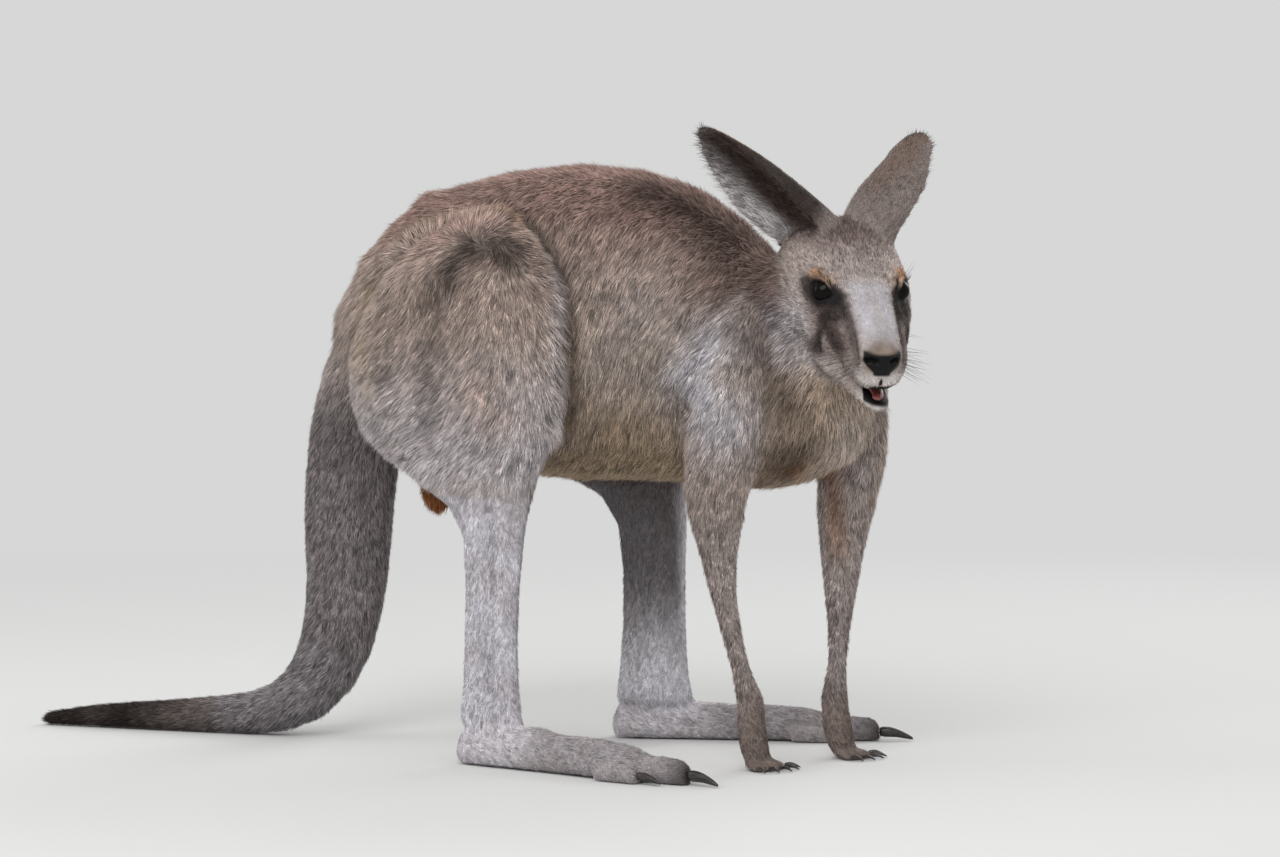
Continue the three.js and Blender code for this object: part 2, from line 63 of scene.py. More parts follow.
def turning(yaw, pitch):
    """The axes, as columns, of something turned left by yaw and then nose down by pitch."""
    cy, sy, cp, sp = math.cos(yaw), math.sin(yaw), math.cos(pitch), math.sin(pitch)
    about_z = np.array([[cy, -sy, 0], [sy, cy, 0], [0, 0, 1]])
    about_y = np.array([[cp, 0, sp], [0, 1, 0], [-sp, 0, cp]])
    return about_z @ about_y


# The head's own frame, in millimetres: the nose at the origin, +X out of the nose, +Z to the forehead.
HEAD_TURN = math.radians(-48)  # to the animal's right
HEAD_NOD = math.radians(23)
HEAD_AXES = turning(HEAD_TURN, HEAD_NOD)
EYE_ON_HEAD = np.array([-104.0, 38.5, 28.0])  # the left eye; the right one is its mirror
EYE_RADIUS = 14.0
NOSE_TIP = (centre("eye_right") + centre("eye_left")) / 2 - HEAD_AXES @ (EYE_ON_HEAD * (1, 0, 1)) * MM


def to_head(points):
    """Places of the scene in the head's frame."""
    return (points - NOSE_TIP) @ HEAD_AXES / MM


def from_head(points):
    """Places of the head's frame in the scene."""
    return np.asarray(points, float) * MM @ HEAD_AXES.T + NOSE_TIP


def mirrored(places, side):
    """A place or a row of places of the left side, as they are on this side."""
    return np.array(places, float) * (1, side, 1)


# ---------- small mathematics ----------


def unit(v):
    return v / np.maximum(np.linalg.norm(v, axis=-1, keepdims=True), 1e-12)


def step(low, high, x):
    """0 below low, 1 above high, and smooth between."""
    t = np.clip((x - low) / (high - low), 0, 1)
    return t * t * (3 - 2 * t)


def from_line(points, a, b):
    """How far points are from the stretch from a to b."""
    a, b = np.asarray(a, float), np.asarray(b, float)
    along = b - a
    share = np.clip((points - a) @ along / max(along @ along, 1e-12), 0, 1)
    return np.linalg.norm(points - a - share[:, None] * along, axis=1)


def near(points, a, b, spread):
    """1 on the line from a to b, falling to nothing beyond spread or so."""
    return np.exp(-((from_line(points, a, b) / spread) ** 2))


def near_path(points, path, spread):
    """The same along a row of places."""
    return np.max([near(points, a, b, spread) for a, b in zip(path, path[1:])], axis=0)


def around(points, place, spread):
    """The same about one place."""
    return np.exp(-((np.linalg.norm(points - place, axis=1) / spread) ** 2))


def on(names, *words):
    """Where the name of a node starts with one of these words."""
    return np.any([np.char.startswith(names, word) for word in words], axis=0)


def spreading(values, edges, rounds, pace=0.6):
    """Values at a mesh's corners, each drawn towards its neighbours' mean for its own number of rounds."""
    values = np.array(values, float)
    table = values.reshape(len(values), -1)
    size = len(table)
    degree = np.maximum(np.bincount(edges.ravel(), minlength=size), 1)
    rounds = np.broadcast_to(rounds, size)
    for turn in range(int(np.ceil(rounds.max()))):
        moving = rounds > turn
        for column in table.T:
            mean = np.bincount(edges[:, 0], column[edges[:, 1]], size)
            mean += np.bincount(edges[:, 1], column[edges[:, 0]], size)
            column[moving] += pace * (mean / degree - column)[moving]
    return table.reshape(values.shape)


# ---------- meshes ----------


def only(*objects):
    """Selects these objects alone and makes the first active."""
    bpy.ops.object.select_all(action="DESELECT")
    for item in objects:
        item.select_set(True)
    bpy.context.view_layer.objects.active = objects[0]
    return objects[0]


def new_object(name, mesh):
    made = bpy.data.objects.new(name, mesh)
    bpy.context.scene.collection.objects.link(made)
    return made


def copy_of(node):
    """A loose copy of a CAD node's mesh, with its doubles merged."""
    mesh = NODES[node].data.copy()
    mesh.materials.clear()
    made = only(new_object("copy_" + node, mesh))
    bpy.ops.object.mode_set(mode="EDIT")
    bpy.ops.mesh.select_all(action="SELECT")
    bpy.ops.mesh.remove_doubles(threshold=0.01 * MM)
    bpy.ops.object.mode_set(mode="OBJECT")
    return made


def joined(parts, name):
    only(*parts)
    if len(parts) > 1:
        bpy.ops.object.join()
    made = bpy.context.view_layer.objects.active
    made.name = made.data.name = name
    return made


def modified(item, kind, **settings):
    """Adds a modifier, sets it and applies it."""
    only(item)
    modifier = item.modifiers.new(kind.lower(), kind)
    for key, value in settings.items():
        setattr(modifier, key, value)
    bpy.ops.object.modifier_apply(modifier=modifier.name)


def corners(mesh):
    co = np.empty(len(mesh.vertices) * 3, np.float32)
    mesh.vertices.foreach_get("co", co)
    return co.reshape(-1, 3).astype(float)


def normals(mesh):
    found = np.empty(len(mesh.vertices) * 3, np.float32)
    mesh.vertices.foreach_get("normal", found)
    return found.reshape(-1, 3).astype(float)


def edges_of(mesh):
    ends = np.empty(len(mesh.edges) * 2, np.int32)
    mesh.edges.foreach_get("vertices", ends)
    return ends.reshape(-1, 2)


def move_to(mesh, co):
    mesh.vertices.foreach_set("co", co.astype(np.float32).ravel())
    mesh.update()


def mesh_from(name, points, triangles):
    """A smooth mesh from arrays of corners and triangles."""
    mesh = bpy.data.meshes.new(name)
    mesh.vertices.add(len(points))
    mesh.vertices.foreach_set("co", points.astype(np.float32).ravel())
    mesh.loops.add(triangles.size)
    mesh.loops.foreach_set("vertex_index", triangles.astype(np.int32).ravel())
    mesh.polygons.add(len(triangles))
    mesh.polygons.foreach_set("loop_start", np.arange(0, triangles.size, 3, dtype=np.int32))
    mesh.polygons.foreach_set("loop_total", np.full(len(triangles), 3, np.int32))
    mesh.update(calc_edges=True)
    mesh.polygons.foreach_set("use_smooth", np.ones(len(triangles), bool))
    return mesh


def keep(mesh, name, values):
    """Stores a number or a colour at each corner of the mesh."""
    values = np.asarray(values, np.float32)
    if values.ndim == 1:
        mesh.attributes.new(name, "FLOAT", "POINT").data.foreach_set("value", values)
    else:
        mesh.attributes.new(name, "FLOAT_COLOR", "POINT").data.foreach_set("color", values.ravel())


# ---------- the coat, part by part ----------
# rounds: how long the faceted solid is smoothed; depth: from the tips of the coat to the skin.
# long, wide, lift: a tuft's length and width, and how far its tip stands off as a share of its length.
# apart: the distance between tufts. shade: how much of each of the coat's colours the part has.
FIELDS = ("long", "wide", "lift", "apart")
MASKS = ("warm", "pale", "dark", "rust", "buff", "white", "bare", "grizzle")


def coat(rounds, depth, long, wide, lift, apart, **shade):
    return {
        "rounds": rounds,
        "depth": depth,
        "long": long,
        "wide": wide,
        "lift": lift,
        "apart": apart,
        "shade": [shade.get(name, 0.0) for name in MASKS],
    }


COATS = {
    "trunk": coat(170, 4.5, 17, 1.15, 0.24, 1.8, grizzle=1.0),
    "neck": coat(90, 4.5, 15, 1.15, 0.24, 1.8, warm=0.2, dark=0.1, grizzle=1.0),
    "thigh": coat(100, 4.5, 16, 1.15, 0.24, 1.8, grizzle=1.0),
    "upper_arm": coat(70, 4, 14, 1.15, 0.24, 1.8, pale=0.1, grizzle=1.0),
    "forearm": coat(12, 2.2, 9, 1.05, 0.22, 1.75, warm=0.04, dark=0.15, pale=0.28, grizzle=1.15),
    "hand": coat(3, 1.1, 5.5, 0.95, 0.18, 1.6, dark=0.4, warm=0.05, grizzle=0.8),
    "shank": coat(14, 2.4, 8, 1.0, 0.20, 1.8, pale=0.95, grizzle=0.5),
    "foot": coat(8, 1.8, 7, 1.0, 0.20, 1.7, pale=0.9, dark=0.02, grizzle=0.65),
    "toe": coat(4, 1.3, 5.5, 0.95, 0.18, 1.7, pale=0.7, dark=0.25, grizzle=0.65),
    "tail_root": coat(45, 3.6, 13, 1.15, 0.26, 1.85, pale=0.6, dark=0.42, grizzle=1.2),
    "tail": coat(22, 3, 10, 1.05, 0.24, 1.8, pale=0.65, dark=0.4, grizzle=1.45),
    "tail_tip": coat(8, 2.6, 11, 1.1, 0.22, 1.8, pale=0.3, dark=0.6, grizzle=0.9),
    "scrotum": coat(6, 2, 11, 1.1, 0.34, 1.7, rust=0.85, dark=0.2, grizzle=0.9),
    "head": coat(12, 1.5, 5.2, 0.8, 0.22, 1.33, pale=0.2, dark=0.1, grizzle=1.25),
    "lower_jaw": coat(8, 1.5, 5.5, 0.8, 0.22, 1.45, pale=0.3, grizzle=0.9),
    "nose": coat(4, 0.3, 2.0, 0.7, 0.14, 1.25, buff=0.4, dark=0.4, grizzle=0.5),
    "ear": coat(4, 1.0, 5.0, 0.85, 0.22, 1.6, dark=0.4, warm=0.05, pale=0.2, grizzle=0.7),
}


def coat_of(node):
    """The row of COATS that a CAD node takes."""
    fits = [name for name in COATS if node.startswith(name)]
    return max(fits, key=len)


# ---------- the skin ----------
# Each ear's root in the head's frame, and the way it points and opens.
EARS = {
    -1: {"root": (-196, -32, 57), "along": (-0.104, -0.058, 0.105), "opening": (-0.42, -0.85, -0.36)},
    1: {"root": (-200, 32, 50), "along": (0.008, 0.11, 0.104), "opening": (0.24, 0.94, -0.2)},
}
EAR_NODES = {-1: "ear_right", 1: "ear_left"}
EAR_LENGTH = 0.16
EAR_HALF_WIDTH = 0.04
FOLD_AT_TIP = 0.12  # where the ear's front fold ends across its cup, in half widths
FOLD_LOWER = 0.48  # how much further across it ends at the root


def ear_axes(side):
    """An ear's root, and the unit vectors along it and out of its cup."""
    along = unit(np.array(EARS[side]["along"]))
    opening = np.array(EARS[side]["opening"])
    opening = unit(opening - along * (opening @ along))
    return from_head(EARS[side]["root"]), along, opening


FACE_NODES = ("head", "lower_jaw", "nose")
SKIN_NODES = sorted(n for n in NODES if not n.startswith(("eye_", "claw_", "tongue")))
VOXEL = 2.7 * MM
GROWTH = 1.0 * MM  # closes the clearances between the solids before they are joined
SKIN_TRIANGLES = 190000


def labelled(points, names):
    """For each point the nearest of these CAD nodes, and how far inside its surface the point lies."""
    places, faces, owner = [], [], []
    for k, name in enumerate(names):
        mesh = NODES[name].data
        start = len(places)
        places += [v.co for v in mesh.vertices]
        faces += [[start + i for i in p.vertices] for p in mesh.polygons]
        owner += [k] * len(mesh.polygons)
    tree = BVHTree.FromPolygons(places, faces)
    label = np.zeros(len(points), int)
    inside = np.zeros(len(points))
    for i, point in enumerate(points):
        spot, normal, face, _ = tree.find_nearest(point)
        label[i] = owner[face]
        inside[i] = sum((s - p) * n for s, p, n in zip(spot, point, normal))
    return label, inside


def flesh():
    """All the flesh as one closed even mesh, grown a little first so that the clearances close."""
    parts = [copy_of(n) for n in SKIN_NODES + ["eye_right", "eye_left"]]
    body = joined(parts, "skin")
    modified(body, "DISPLACE", strength=GROWTH, mid_level=0)
    modified(body, "REMESH", mode="VOXEL", voxel_size=VOXEL)
    return body


def refined(body, places):
    """Halves the edges within reach of some places, for the small forms of the face."""
    work = bmesh.new()
    work.from_mesh(body.data)
    co = np.array([v.co for v in work.verts])
    close = np.zeros(len(co), bool)
    for place, reach in places:
        close |= np.linalg.norm(co - place, axis=1) < reach * MM
    cut = [e for e in work.edges if close[e.verts[0].index] and close[e.verts[1].index]]
    bmesh.ops.subdivide_edges(work, edges=cut, cuts=1, use_grid_fill=True)
    bmesh.ops.triangulate(work, faces=[f for f in work.faces if len(f.verts) > 4])
    work.to_mesh(body.data)
    work.free()


def eye_frame(side):
    """The eye's centre and its own axes, in the head's frame: out of the socket, towards the nose, and up."""
    out = unit(mirrored((0.54, 0.81, 0.22), side))
    ahead = mirrored((0.90, -0.34, 0.16), side)
    ahead = unit(ahead - out * (ahead @ out))
    up = np.cross(out, ahead)
    return mirrored(EYE_ON_HEAD, side), out, ahead, up * np.sign(up[2])


LID = 2.4  # thickness of the lids
EYE_OPENING = (1.16, 0.6, 0.74)  # the opening's half length, and its height over and under, in eye radii


def eye_ellipse(points, side):
    """For points of the face, their place about an eye's opening: 1 on its edge; how high; how far out."""
    middle, out, ahead, up = eye_frame(side)
    away = (points - middle) / EYE_RADIUS
    u, v, w = away @ ahead, away @ up, away @ out
    corner = 1 + 0.4 * step(0.2, 0.9, u)
    v = v + 0.16 * u
    tall = np.where(v > 0, EYE_OPENING[1], EYE_OPENING[2]) / corner
    size = np.hypot(u / (EYE_OPENING[0] * corner), v / tall)
    w = np.where(np.linalg.norm(away, axis=1) < 2.4, w, -1)
    return size, v, w


def sculpt_eye(head, side):
    """Lids that wrap the eyeball, and a socket behind the opening between them."""
    middle = eye_frame(side)[0]
    away = head - middle
    far = np.linalg.norm(away, axis=1)
    size, high, out = eye_ellipse(head, side)
    front = step(0.0, 0.25, out)
    lid_radius = EYE_RADIUS + LID * (0.8 + 0.5 * step(-0.1, 0.5, high))
    reach = step(1.75, 1.12, size) * front
    wrapped = far + reach * np.where(far < lid_radius, lid_radius - far, -0.75 * (far - lid_radius))
    hollow = step(1.04, 0.94, size) * front
    wrapped += hollow * (0.62 * EYE_RADIUS - wrapped)
    fold = np.exp(-(((size - 1.5) / 0.14) ** 2)) * front  # the crease round the lids
    return middle + away / far[:, None] * (wrapped - 1.4 * fold)[:, None]


# Rises (+) and hollows (-) of the face, in the head's frame, given for the left side and mirrored:
# the path of each, its spread and its height.
FACE_FORMS = [
    ([(-70, 28, 28), (-49, 28, 18), (-30, 27, 6), (-14, 26, -12)], 4, -4.0),  # groove along the muzzle
    ([(-84, 38, 16), (-74, 36, 20)], 6, -3.5),  # hollow before the eye
    ([(-76, 44, 10), (-80, 46, -4), (-86, 45, -18), (-104, 40, -38)], 4.5, -4.0),  # second fold of the cheek
    ([(-68, 40, 4), (-56, 36, -8)], 9, 4.0),  # the fleshy cheek between the two
    ([(-96, 50, 4), (-104, 50, -12)], 11, 2.5),  # cheekbone
    ([(-120, 47, 42), (-108, 44, 46), (-95, 36, 46)], 6, 4.2),  # brow
    ([(-76, 0, 42), (-50, 0, 30), (-28, 0, 18)], 17, 2.0),  # bridge
    ([(-30, 29, -20), (-14, 22, -24)], 9, 3.2),  # whisker pad
    ([(-6, 15, -27), (-4, 9, -30)], 6, 2.6),  # upper lip
    ([(-140, 60, -20), (-128, 58, -38)], 20, 2.5),  # jaw muscle
    ([(-13, 4, 9), (-6, 10, 6)], 4, 1.0),  # upper rim of the nose pad
    ([(-2, 20, -13), (-4, 15, -20), (-4, 12, -23)], 4.5, -3.0),  # the pad narrows towards the lip
]
NOSTRIL = [(-1, 9, -7), (-3, 14.5, -5), (-8, 19, -8)]
MOUTH_LINE = [(-86, 34, -44), (-66, 29, -44), (-46, 25, -47), (-28, 20.5, -51), (-16, 16.5, -52)]
PHILTRUM = [(1, 0, -18), (-1, 0, -26), (-4, 0, -33)]


def sculpt_face(body):
    """The small forms of the face: folds, brow, lips, nostrils, then the lids."""
    co = corners(body.data)
    out = normals(body.data) @ HEAD_AXES
    head = to_head(co)
    face = np.linalg.norm(head - (-90, 0, 0), axis=1) < 150
    near_face = head[face]
    rise = np.zeros(len(near_face))
    for side in (1, -1):
        for path, spread, height in FACE_FORMS:
            rise += height * near_path(near_face, mirrored(path, side), spread)
        rise -= 6.5 * near_path(near_face, mirrored(NOSTRIL, side), 2.9)
        rise -= 2.6 * near_path(near_face, mirrored(MOUTH_LINE, side), 2.2)
    rise -= 2.2 * near_path(near_face, PHILTRUM, 1.8)
    head[face] += out[face] * rise[:, None]
    lip = near_path(head, [(-34, -20, -28), (-10, -8, -30), (-10, 8, -30), (-34, 20, -28)], 15)
    head[:, 2] -= 8 * lip * step(-20, -28, head[:, 2]) * step(-47, -38, head[:, 2])
    for side in (1, -1):
        head = sculpt_eye(head, side)
    move_to(body.data, from_head(head))


# Rises and hollows of the body in millimetres, given for the left side and mirrored: path, spread, height.
HIP_ROLL = [
    (-71, 92, 550), (-40, 92, 568), (-9, 94, 576), (34, 106, 578), (82, 133, 570), (104, 130, 558),
    (126, 128, 538), (147, 130, 510), (155, 135, 466), (158, 141, 402), (154, 143, 359),
]
HIP_CREASE = [
    (40, 80, 608), (76, 91, 597), (98, 102, 585), (116, 107, 571), (139, 116, 549), (160, 124, 515),
    (168, 127, 482), (169, 126, 428), (158, 111, 374), (145, 98, 347),
]
BODY_FORMS = [
    (HIP_ROLL, 14, 8),
    (HIP_CREASE, 8, -14),
    ([(-40, 60, 612), (34, 66, 628), (84, 84, 616)], 14, -3.5),
    ([(76, 150, 552), (50, 156, 545)], 16, -5),
    ([(31, 166, 505), (12, 167, 490), (20, 174, 450)], 17, -7),
    ([(24, 176, 430), (20, 178, 398), (21, 181, 350)], 13, -7),
    ([(2, 166, 484)], 13, -6),
    ([(-37, 170, 422)], 13, -7),
    ([(86, 170, 466), (80, 180, 380)], 32, 4.5),
    ([(-48, 162, 454), (-35, 173, 389)], 30, 5),
    ([(-74, 14, 612), (-70, 26, 610)], 18, 11),
    ([(-158, 16, 556), (-154, 34, 552)], 18, 12),
    ([(-170, 40, 498)], 24, 6),
    ([(290, 105, 383), (280, 111, 398)], 11, -13),
    ([(302, 106, 470), (276, 113, 440), (262, 116, 410)], 10, -4),
    ([(330, 108, 440), (342, 116, 390)], 30, 4),
    ([(190, 120, 380), (250, 112, 366)], 14, 3),
    ([(99, 184, 270), (99, 186, 180), (97, 183, 80)], 8, -11),
    ([(74, 182, 250), (72, 183, 90)], 10, 3),
    ([(148, 176, 54), (160, 181, 48)], 14, 6),
]
HOLLOWS = [(2, 166, 484), (-37, 170, 422), (20, 178, 398)]  # where the hair of the thigh parts
WHORL = (78, 148, 560)  # where the hair of the hip turns
HIP = (50, 120, 500)
ANKLE = (112, 168, 46)
LEFT_THIGH = (36, -34, 0)  # the left leg stands further forward and further in than the right one
LEFT_SHANK = (53, -49, 0)


def placed(path, side):
    """Places of the right side of the body as they are on either side, in metres."""
    spots = []
    for point in path if len(path) > 1 else path * 2:
        spot = mirrored(point, side)
        if side == 1 and point[0] < 170 and point[1] > 50:
            spot += LEFT_THIGH if point[2] > 300 else LEFT_SHANK
        spots.append(spot * MM)
    return spots


def sculpt_body(co, out, names):
    """The roll and crease of the hip, the muscles of the thigh and rump, the tendon and the instep."""
    rise = np.zeros(len(co))
    off_tail = ~on(names, "tail")
    for side in (-1, 1):
        for path, spread, height in BODY_FORMS:
            rise += height * near_path(co, placed(path, side), spread * MM) * off_tail
    return co + out * (rise * MM)[:, None]


def round_ears(co, names):
    """Widens the tips of the ears, which smoothing leaves too pointed, and their outer rims low down."""
    for side, share in ((1, 0.5), (-1, 0.12)):
        here = names == EAR_NODES[side]
        root, along, opening = ear_axes(side)
        across = np.cross(along, opening)
        rel = co - root
        high, wide = rel @ along, rel @ across
        co = co + across * (wide * here * share * step(0.115, 0.15, high))[:, None]
        rim = here * step(0.3, 1.0, wide * side / 0.03) * step(0.12, 0.06, high) * step(-0.03, 0.0, high)
        co = co + across * (side * 7 * MM * rim)[:, None]
    return co


def make_skin():
    """The whole skin, lying inside the solids by the depth of the coat, with its fields at each corner."""
    body = flesh()
    mesh = body.data
    co, edges = corners(mesh), edges_of(mesh)
    label, _ = labelled(co, SKIN_NODES)
    rows = [COATS[coat_of(n)] for n in SKIN_NODES]
    rounds = np.array([r["rounds"] for r in rows], float)[label]
    for side in (-1, 1):
        rounds += 45 * around(co, placed([ANKLE], side)[0], 34 * MM)
    rounds = spreading(rounds, edges, 30)
    co = spreading(co, edges, rounds)
    move_to(mesh, co)
    _, inside = labelled(co, SKIN_NODES)
    depth = np.array([r["depth"] for r in rows], float)[label] * MM
    in_by = spreading(np.stack([depth, np.clip(inside, -4 * MM, 14 * MM)], 1), edges, 40)
    shift = np.clip(in_by[:, 0] - in_by[:, 1], -3 * MM, 20 * MM)
    co = co - normals(mesh) * shift[:, None]
    move_to(mesh, spreading(co, edges, 2))
    names = np.array(SKIN_NODES)[label]
    co = sculpt_body(corners(mesh), normals(mesh), names)
    co = round_ears(co, names)
    co[:, 2] = np.maximum(co[:, 2], 0.3 * MM)
    move_to(mesh, co)
    eyes = [(centre("eye_" + side), 27) for side in SIDES]
    refined(body, eyes + [(from_head((-30, 0, -15)), 56)])
    refined(body, [(place, 23) for place, _ in eyes] + [(from_head((-4, 0, -12)), 27)])
    sculpt_face(body)
    keep_fine = body.vertex_groups.new(name="fine")
    head = to_head(corners(mesh))
    close = np.linalg.norm(head - (-70, 0, -5), axis=1) < 88
    keep_fine.add([int(i) for i in np.nonzero(close)[0]], 1.0, "REPLACE")
    modified(body, "TRIANGULATE")
    ratio = min(1, SKIN_TRIANGLES / len(mesh.polygons))
    apart_from = {"vertex_group": "fine", "invert_vertex_group": True, "vertex_group_factor": 1.0}
    modified(body, "DECIMATE", ratio=ratio, **apart_from)
    body.vertex_groups.clear()
    mesh.polygons.foreach_set("use_smooth", np.ones(len(mesh.polygons), bool))
    return body


# ---------- the lie of the coat ----------
# Each direction is for the left side of the animal, and is mirrored for the right one.
LIES = {
    "trunk": (-0.14, 0, -1),
    "neck": (-0.75, 0, -0.8),
    "thigh": (-0.25, 0, -0.9),
    "upper_arm": (-0.35, 0, -1),
    "forearm": (0, 0.1, -1),
    "hand": (0.5, 0.1, -1),
    "shank": (-0.12, 0, -1),
    "foot": (1, 0.25, -0.3),
    "toe": (1, 0, -0.35),
    "tail_root": (-0.35, 0, -1),
    "tail": (-0.15, 0, -1),
    "tail_lower": (-0.75, 0, -0.55),
    "tail_tip": (-1, 0, -0.05),
    "scrotum": (0, 0, -1),
}


def ear_inside(points, out, side):
    """Positive where the surface of an ear is that of its cup."""
    root, along, opening = ear_axes(side)
    rel = points - root
    far = rel @ along
    rel = rel - far[:, None] * along - opening * 0.012
    return -np.einsum("ij,ij->i", unit(rel), out)


def lie_of_trunk(guide, points, out, names):
    """Turns the hair of the back, neck and belly further to the rear."""
    here = on(names, "trunk", "neck")
    x, z = points[here, 0], points[here, 2]
    up = out[here, 2]
    guide[here, 0] -= 0.7 * step(0.22, 0.33, x) * step(0.36, 0.44, z)
    guide[here, 0] -= 0.9 * step(0.5, 0.95, up)
    guide[here, 0] -= 0.5 * step(-0.02, -0.16, x) + 0.6 * step(-0.3, -0.9, up)


def lie_of_hips(guide, points, out, names):
    """The thigh's hair parts in its hollows, stands out over the roll of the hip and turns in a whorl."""
    x, z = points[:, 0], points[:, 2]
    thigh = on(names, "thigh")
    near_hip = thigh | on(names, "trunk", "neck") & (x < 0.07)
    parting = np.clip(x, -0.03, 0.075)
    from_hip = unit(np.stack([x - parting, np.zeros_like(x), z - 0.545 - 0.1 * parting], 1)[thigh])
    guide[thigh] += 0.85 * from_hip * step(0.36, 0.50, z[thigh])[:, None]
    guide[thigh, 0] -= 0.75 * step(0.50, 0.40, z[thigh]) * step(0.13, 0.02, x[thigh])
    for side in (-1, 1):
        for hollow in placed(HOLLOWS, side):
            guide += unit(points - hollow) * (0.9 * around(points, hollow, 28 * MM) * thigh)[:, None]
        fringe = near_path(points, placed(HIP_ROLL, side), 18 * MM) * near_hip
        middle = placed([HIP], side)[0] + np.stack([np.clip(x - 0.05, -0.07, 0.025), 0 * x, 0 * x], 1)
        away = unit((points - middle) * (1, 0.3, 1)) + (0.1, 0, -0.25)
        guide += (away * 1.6 - guide) * fringe[:, None]
        turned = (1.3 * side * around(points, placed([WHORL], side)[0], 34 * MM) * thigh)[:, None]
        guide[:] = guide * np.cos(turned) + np.cross(out, guide) * np.sin(turned)


def lie_of_face(guide, points, names):
    """From the nose to the rear, down the cheeks and away from the eyes."""
    face = on(names, *FACE_NODES)
    local = to_head(points[face])
    flow = np.tile((-1.0, 0.0, 0.12), (len(local), 1))
    flow[:, 2] -= 0.75 * step(20, -30, local[:, 2])
    flow[:, 1] += 0.35 * np.sign(local[:, 1]) * step(-30, 10, local[:, 0])
    for side in (1, -1):
        eye = eye_frame(side)[0]
        flow += 0.9 * unit(local - eye) * around(local, eye, 24)[:, None]
    guide[face] = flow @ HEAD_AXES.T


def lie_guides(points, out, names):
    """The way the hair points at each place before it is smoothed over the body."""
    guide = np.zeros_like(points)
    for name in set(names):
        fits = [key for key in LIES if name.startswith(key)]
        if fits:
            guide[names == name] = mirrored(LIES[max(fits, key=len)], -1 if name.endswith("_right") else 1)
    lie_of_trunk(guide, points, out, names)
    lie_of_hips(guide, points, out, names)
    lie_of_face(guide, points, names)
    for side in (1, -1):
        here = names == EAR_NODES[side]
        root, along, _ = ear_axes(side)
        rel = points[here] - root
        outward = rel - (rel @ along)[:, None] * along
        guide[here] = along + 0.5 * unit(outward) * (ear_inside(points[here], out[here], side) > 0)[:, None]
    return unit(guide)


def flattened(vectors, out):
    """Vectors laid into the surface that these normals belong to."""
    return unit(vectors - out * np.einsum("ij,ij->i", vectors, out)[:, None])


# ---------- markings ----------
# mask, amount, path, spread: the markings of the face in the head's frame and then those of the body
# in millimetres, given for the left side and mirrored. Some dark ones are painted shade in the folds,
# grooves, creases and hollows that the sculpting makes.
FACE_MARKS_AND_SHADE = [
    ("pale", 0.75, [(-118, 54, -12), (-146, 80, -30), (-122, 60, -45)], 26),
    ("pale", 0.3, [(-92, 45, -32), (-66, 34, -32)], 16),
    ("pale", 0.95, [(-82, 12, 43), (-46, 12, 27), (-26, 9, 14)], 13.5),
    ("grizzle", 0.55, [(-82, 12, 43), (-46, 12, 27), (-26, 9, 14)], 15),
    ("dark", 0.13, [(-82, 12, 43), (-46, 12, 27), (-26, 9, 14)], 13),
    ("pale", 0.25, [(-140, 14, 62), (-118, 20, 56)], 24),
    ("grizzle", 1.7, [(-150, 10, 64), (-112, 18, 56)], 30),
    ("dark", 0.2, [(-150, 10, 64), (-112, 18, 56)], 24),
    ("dark", 0.52, [(-172, 12, 62), (-196, 0, 66)], 21),
    ("warm", 0.7, [(-168, 15, 66), (-190, 10, 70)], 24),
    ("warm", 0.8, [(-84, 42, 8), (-56, 37, -1), (-40, 33, -8)], 13),
    ("dark", 0.82, [(-92, 44, 14), (-76, 41, 17), (-62, 36, 18)], 10),
    ("dark", 0.84, [(-70, 42, 6), (-56, 38, -2), (-40, 35, -10)], 13),
    ("dark", 0.5, [(-128, 52, 30), (-112, 50, 18), (-96, 47, 8)], 9),
    # Painted shade: the dark crease from the front corner of the eye, and the groove along the muzzle.
    ("dark", 0.95, [(-88, 36, 30), (-76, 31, 32), (-66, 29, 28)], 5.5),
    ("dark", 0.95, [(-68, 30, 26), (-49, 28, 18), (-33, 27, 8), (-20, 27, -2), (-12, 26, -15)], 5.5),
    # Painted shade at the lower end of the cheek's second fold.
    ("dark", 0.5, [(-98, 42, -34), (-112, 37, -42)], 9),
    ("dark", 0.25, [(-60, 20, -62), (-100, 30, -66)], 14),
    # Painted shade along the second fold of the cheek.
    ("dark", 0.9, [(-80, 44, 12), (-79, 46, -2), (-86, 45, -18), (-104, 39, -38)], 5),
    ("dark", 0.4, [(-36, 29, -16), (-16, 25, -22)], 10),
    ("buff", 0.35, [(-24, 0, 15), (-12, 0, 10)], 12),
    ("dark", 0.2, [(-18, 0, 12), (-8, 0, 7)], 11),
    ("white", 0.62, [(-5, 6, -29), (-8, 18, -27), (-14, 25, -20)], 6.5),
    ("dark", 0.0, [(-5, 6, -29), (-8, 18, -27)], 6.5),
    ("dark", 0.4, [(-14, 4, 5), (-9, 6, 4)], 6),
    ("white", 0.5, [(-8, 8, -62), (-30, 14, -60)], 8),
    ("dark", 0.6, [(-30, 22, -46), (-16, 18, -50), (-8, 10, -56)], 5),
    ("buff", 0.5, [(-40, 14, -66), (-90, 12, -72)], 14),
]
BROW = [(-119, 48, 43), (-107, 44, 47), (-97, 38, 46)]
RUFF = [(-128, 60, -20), (-146, 76, -40)]
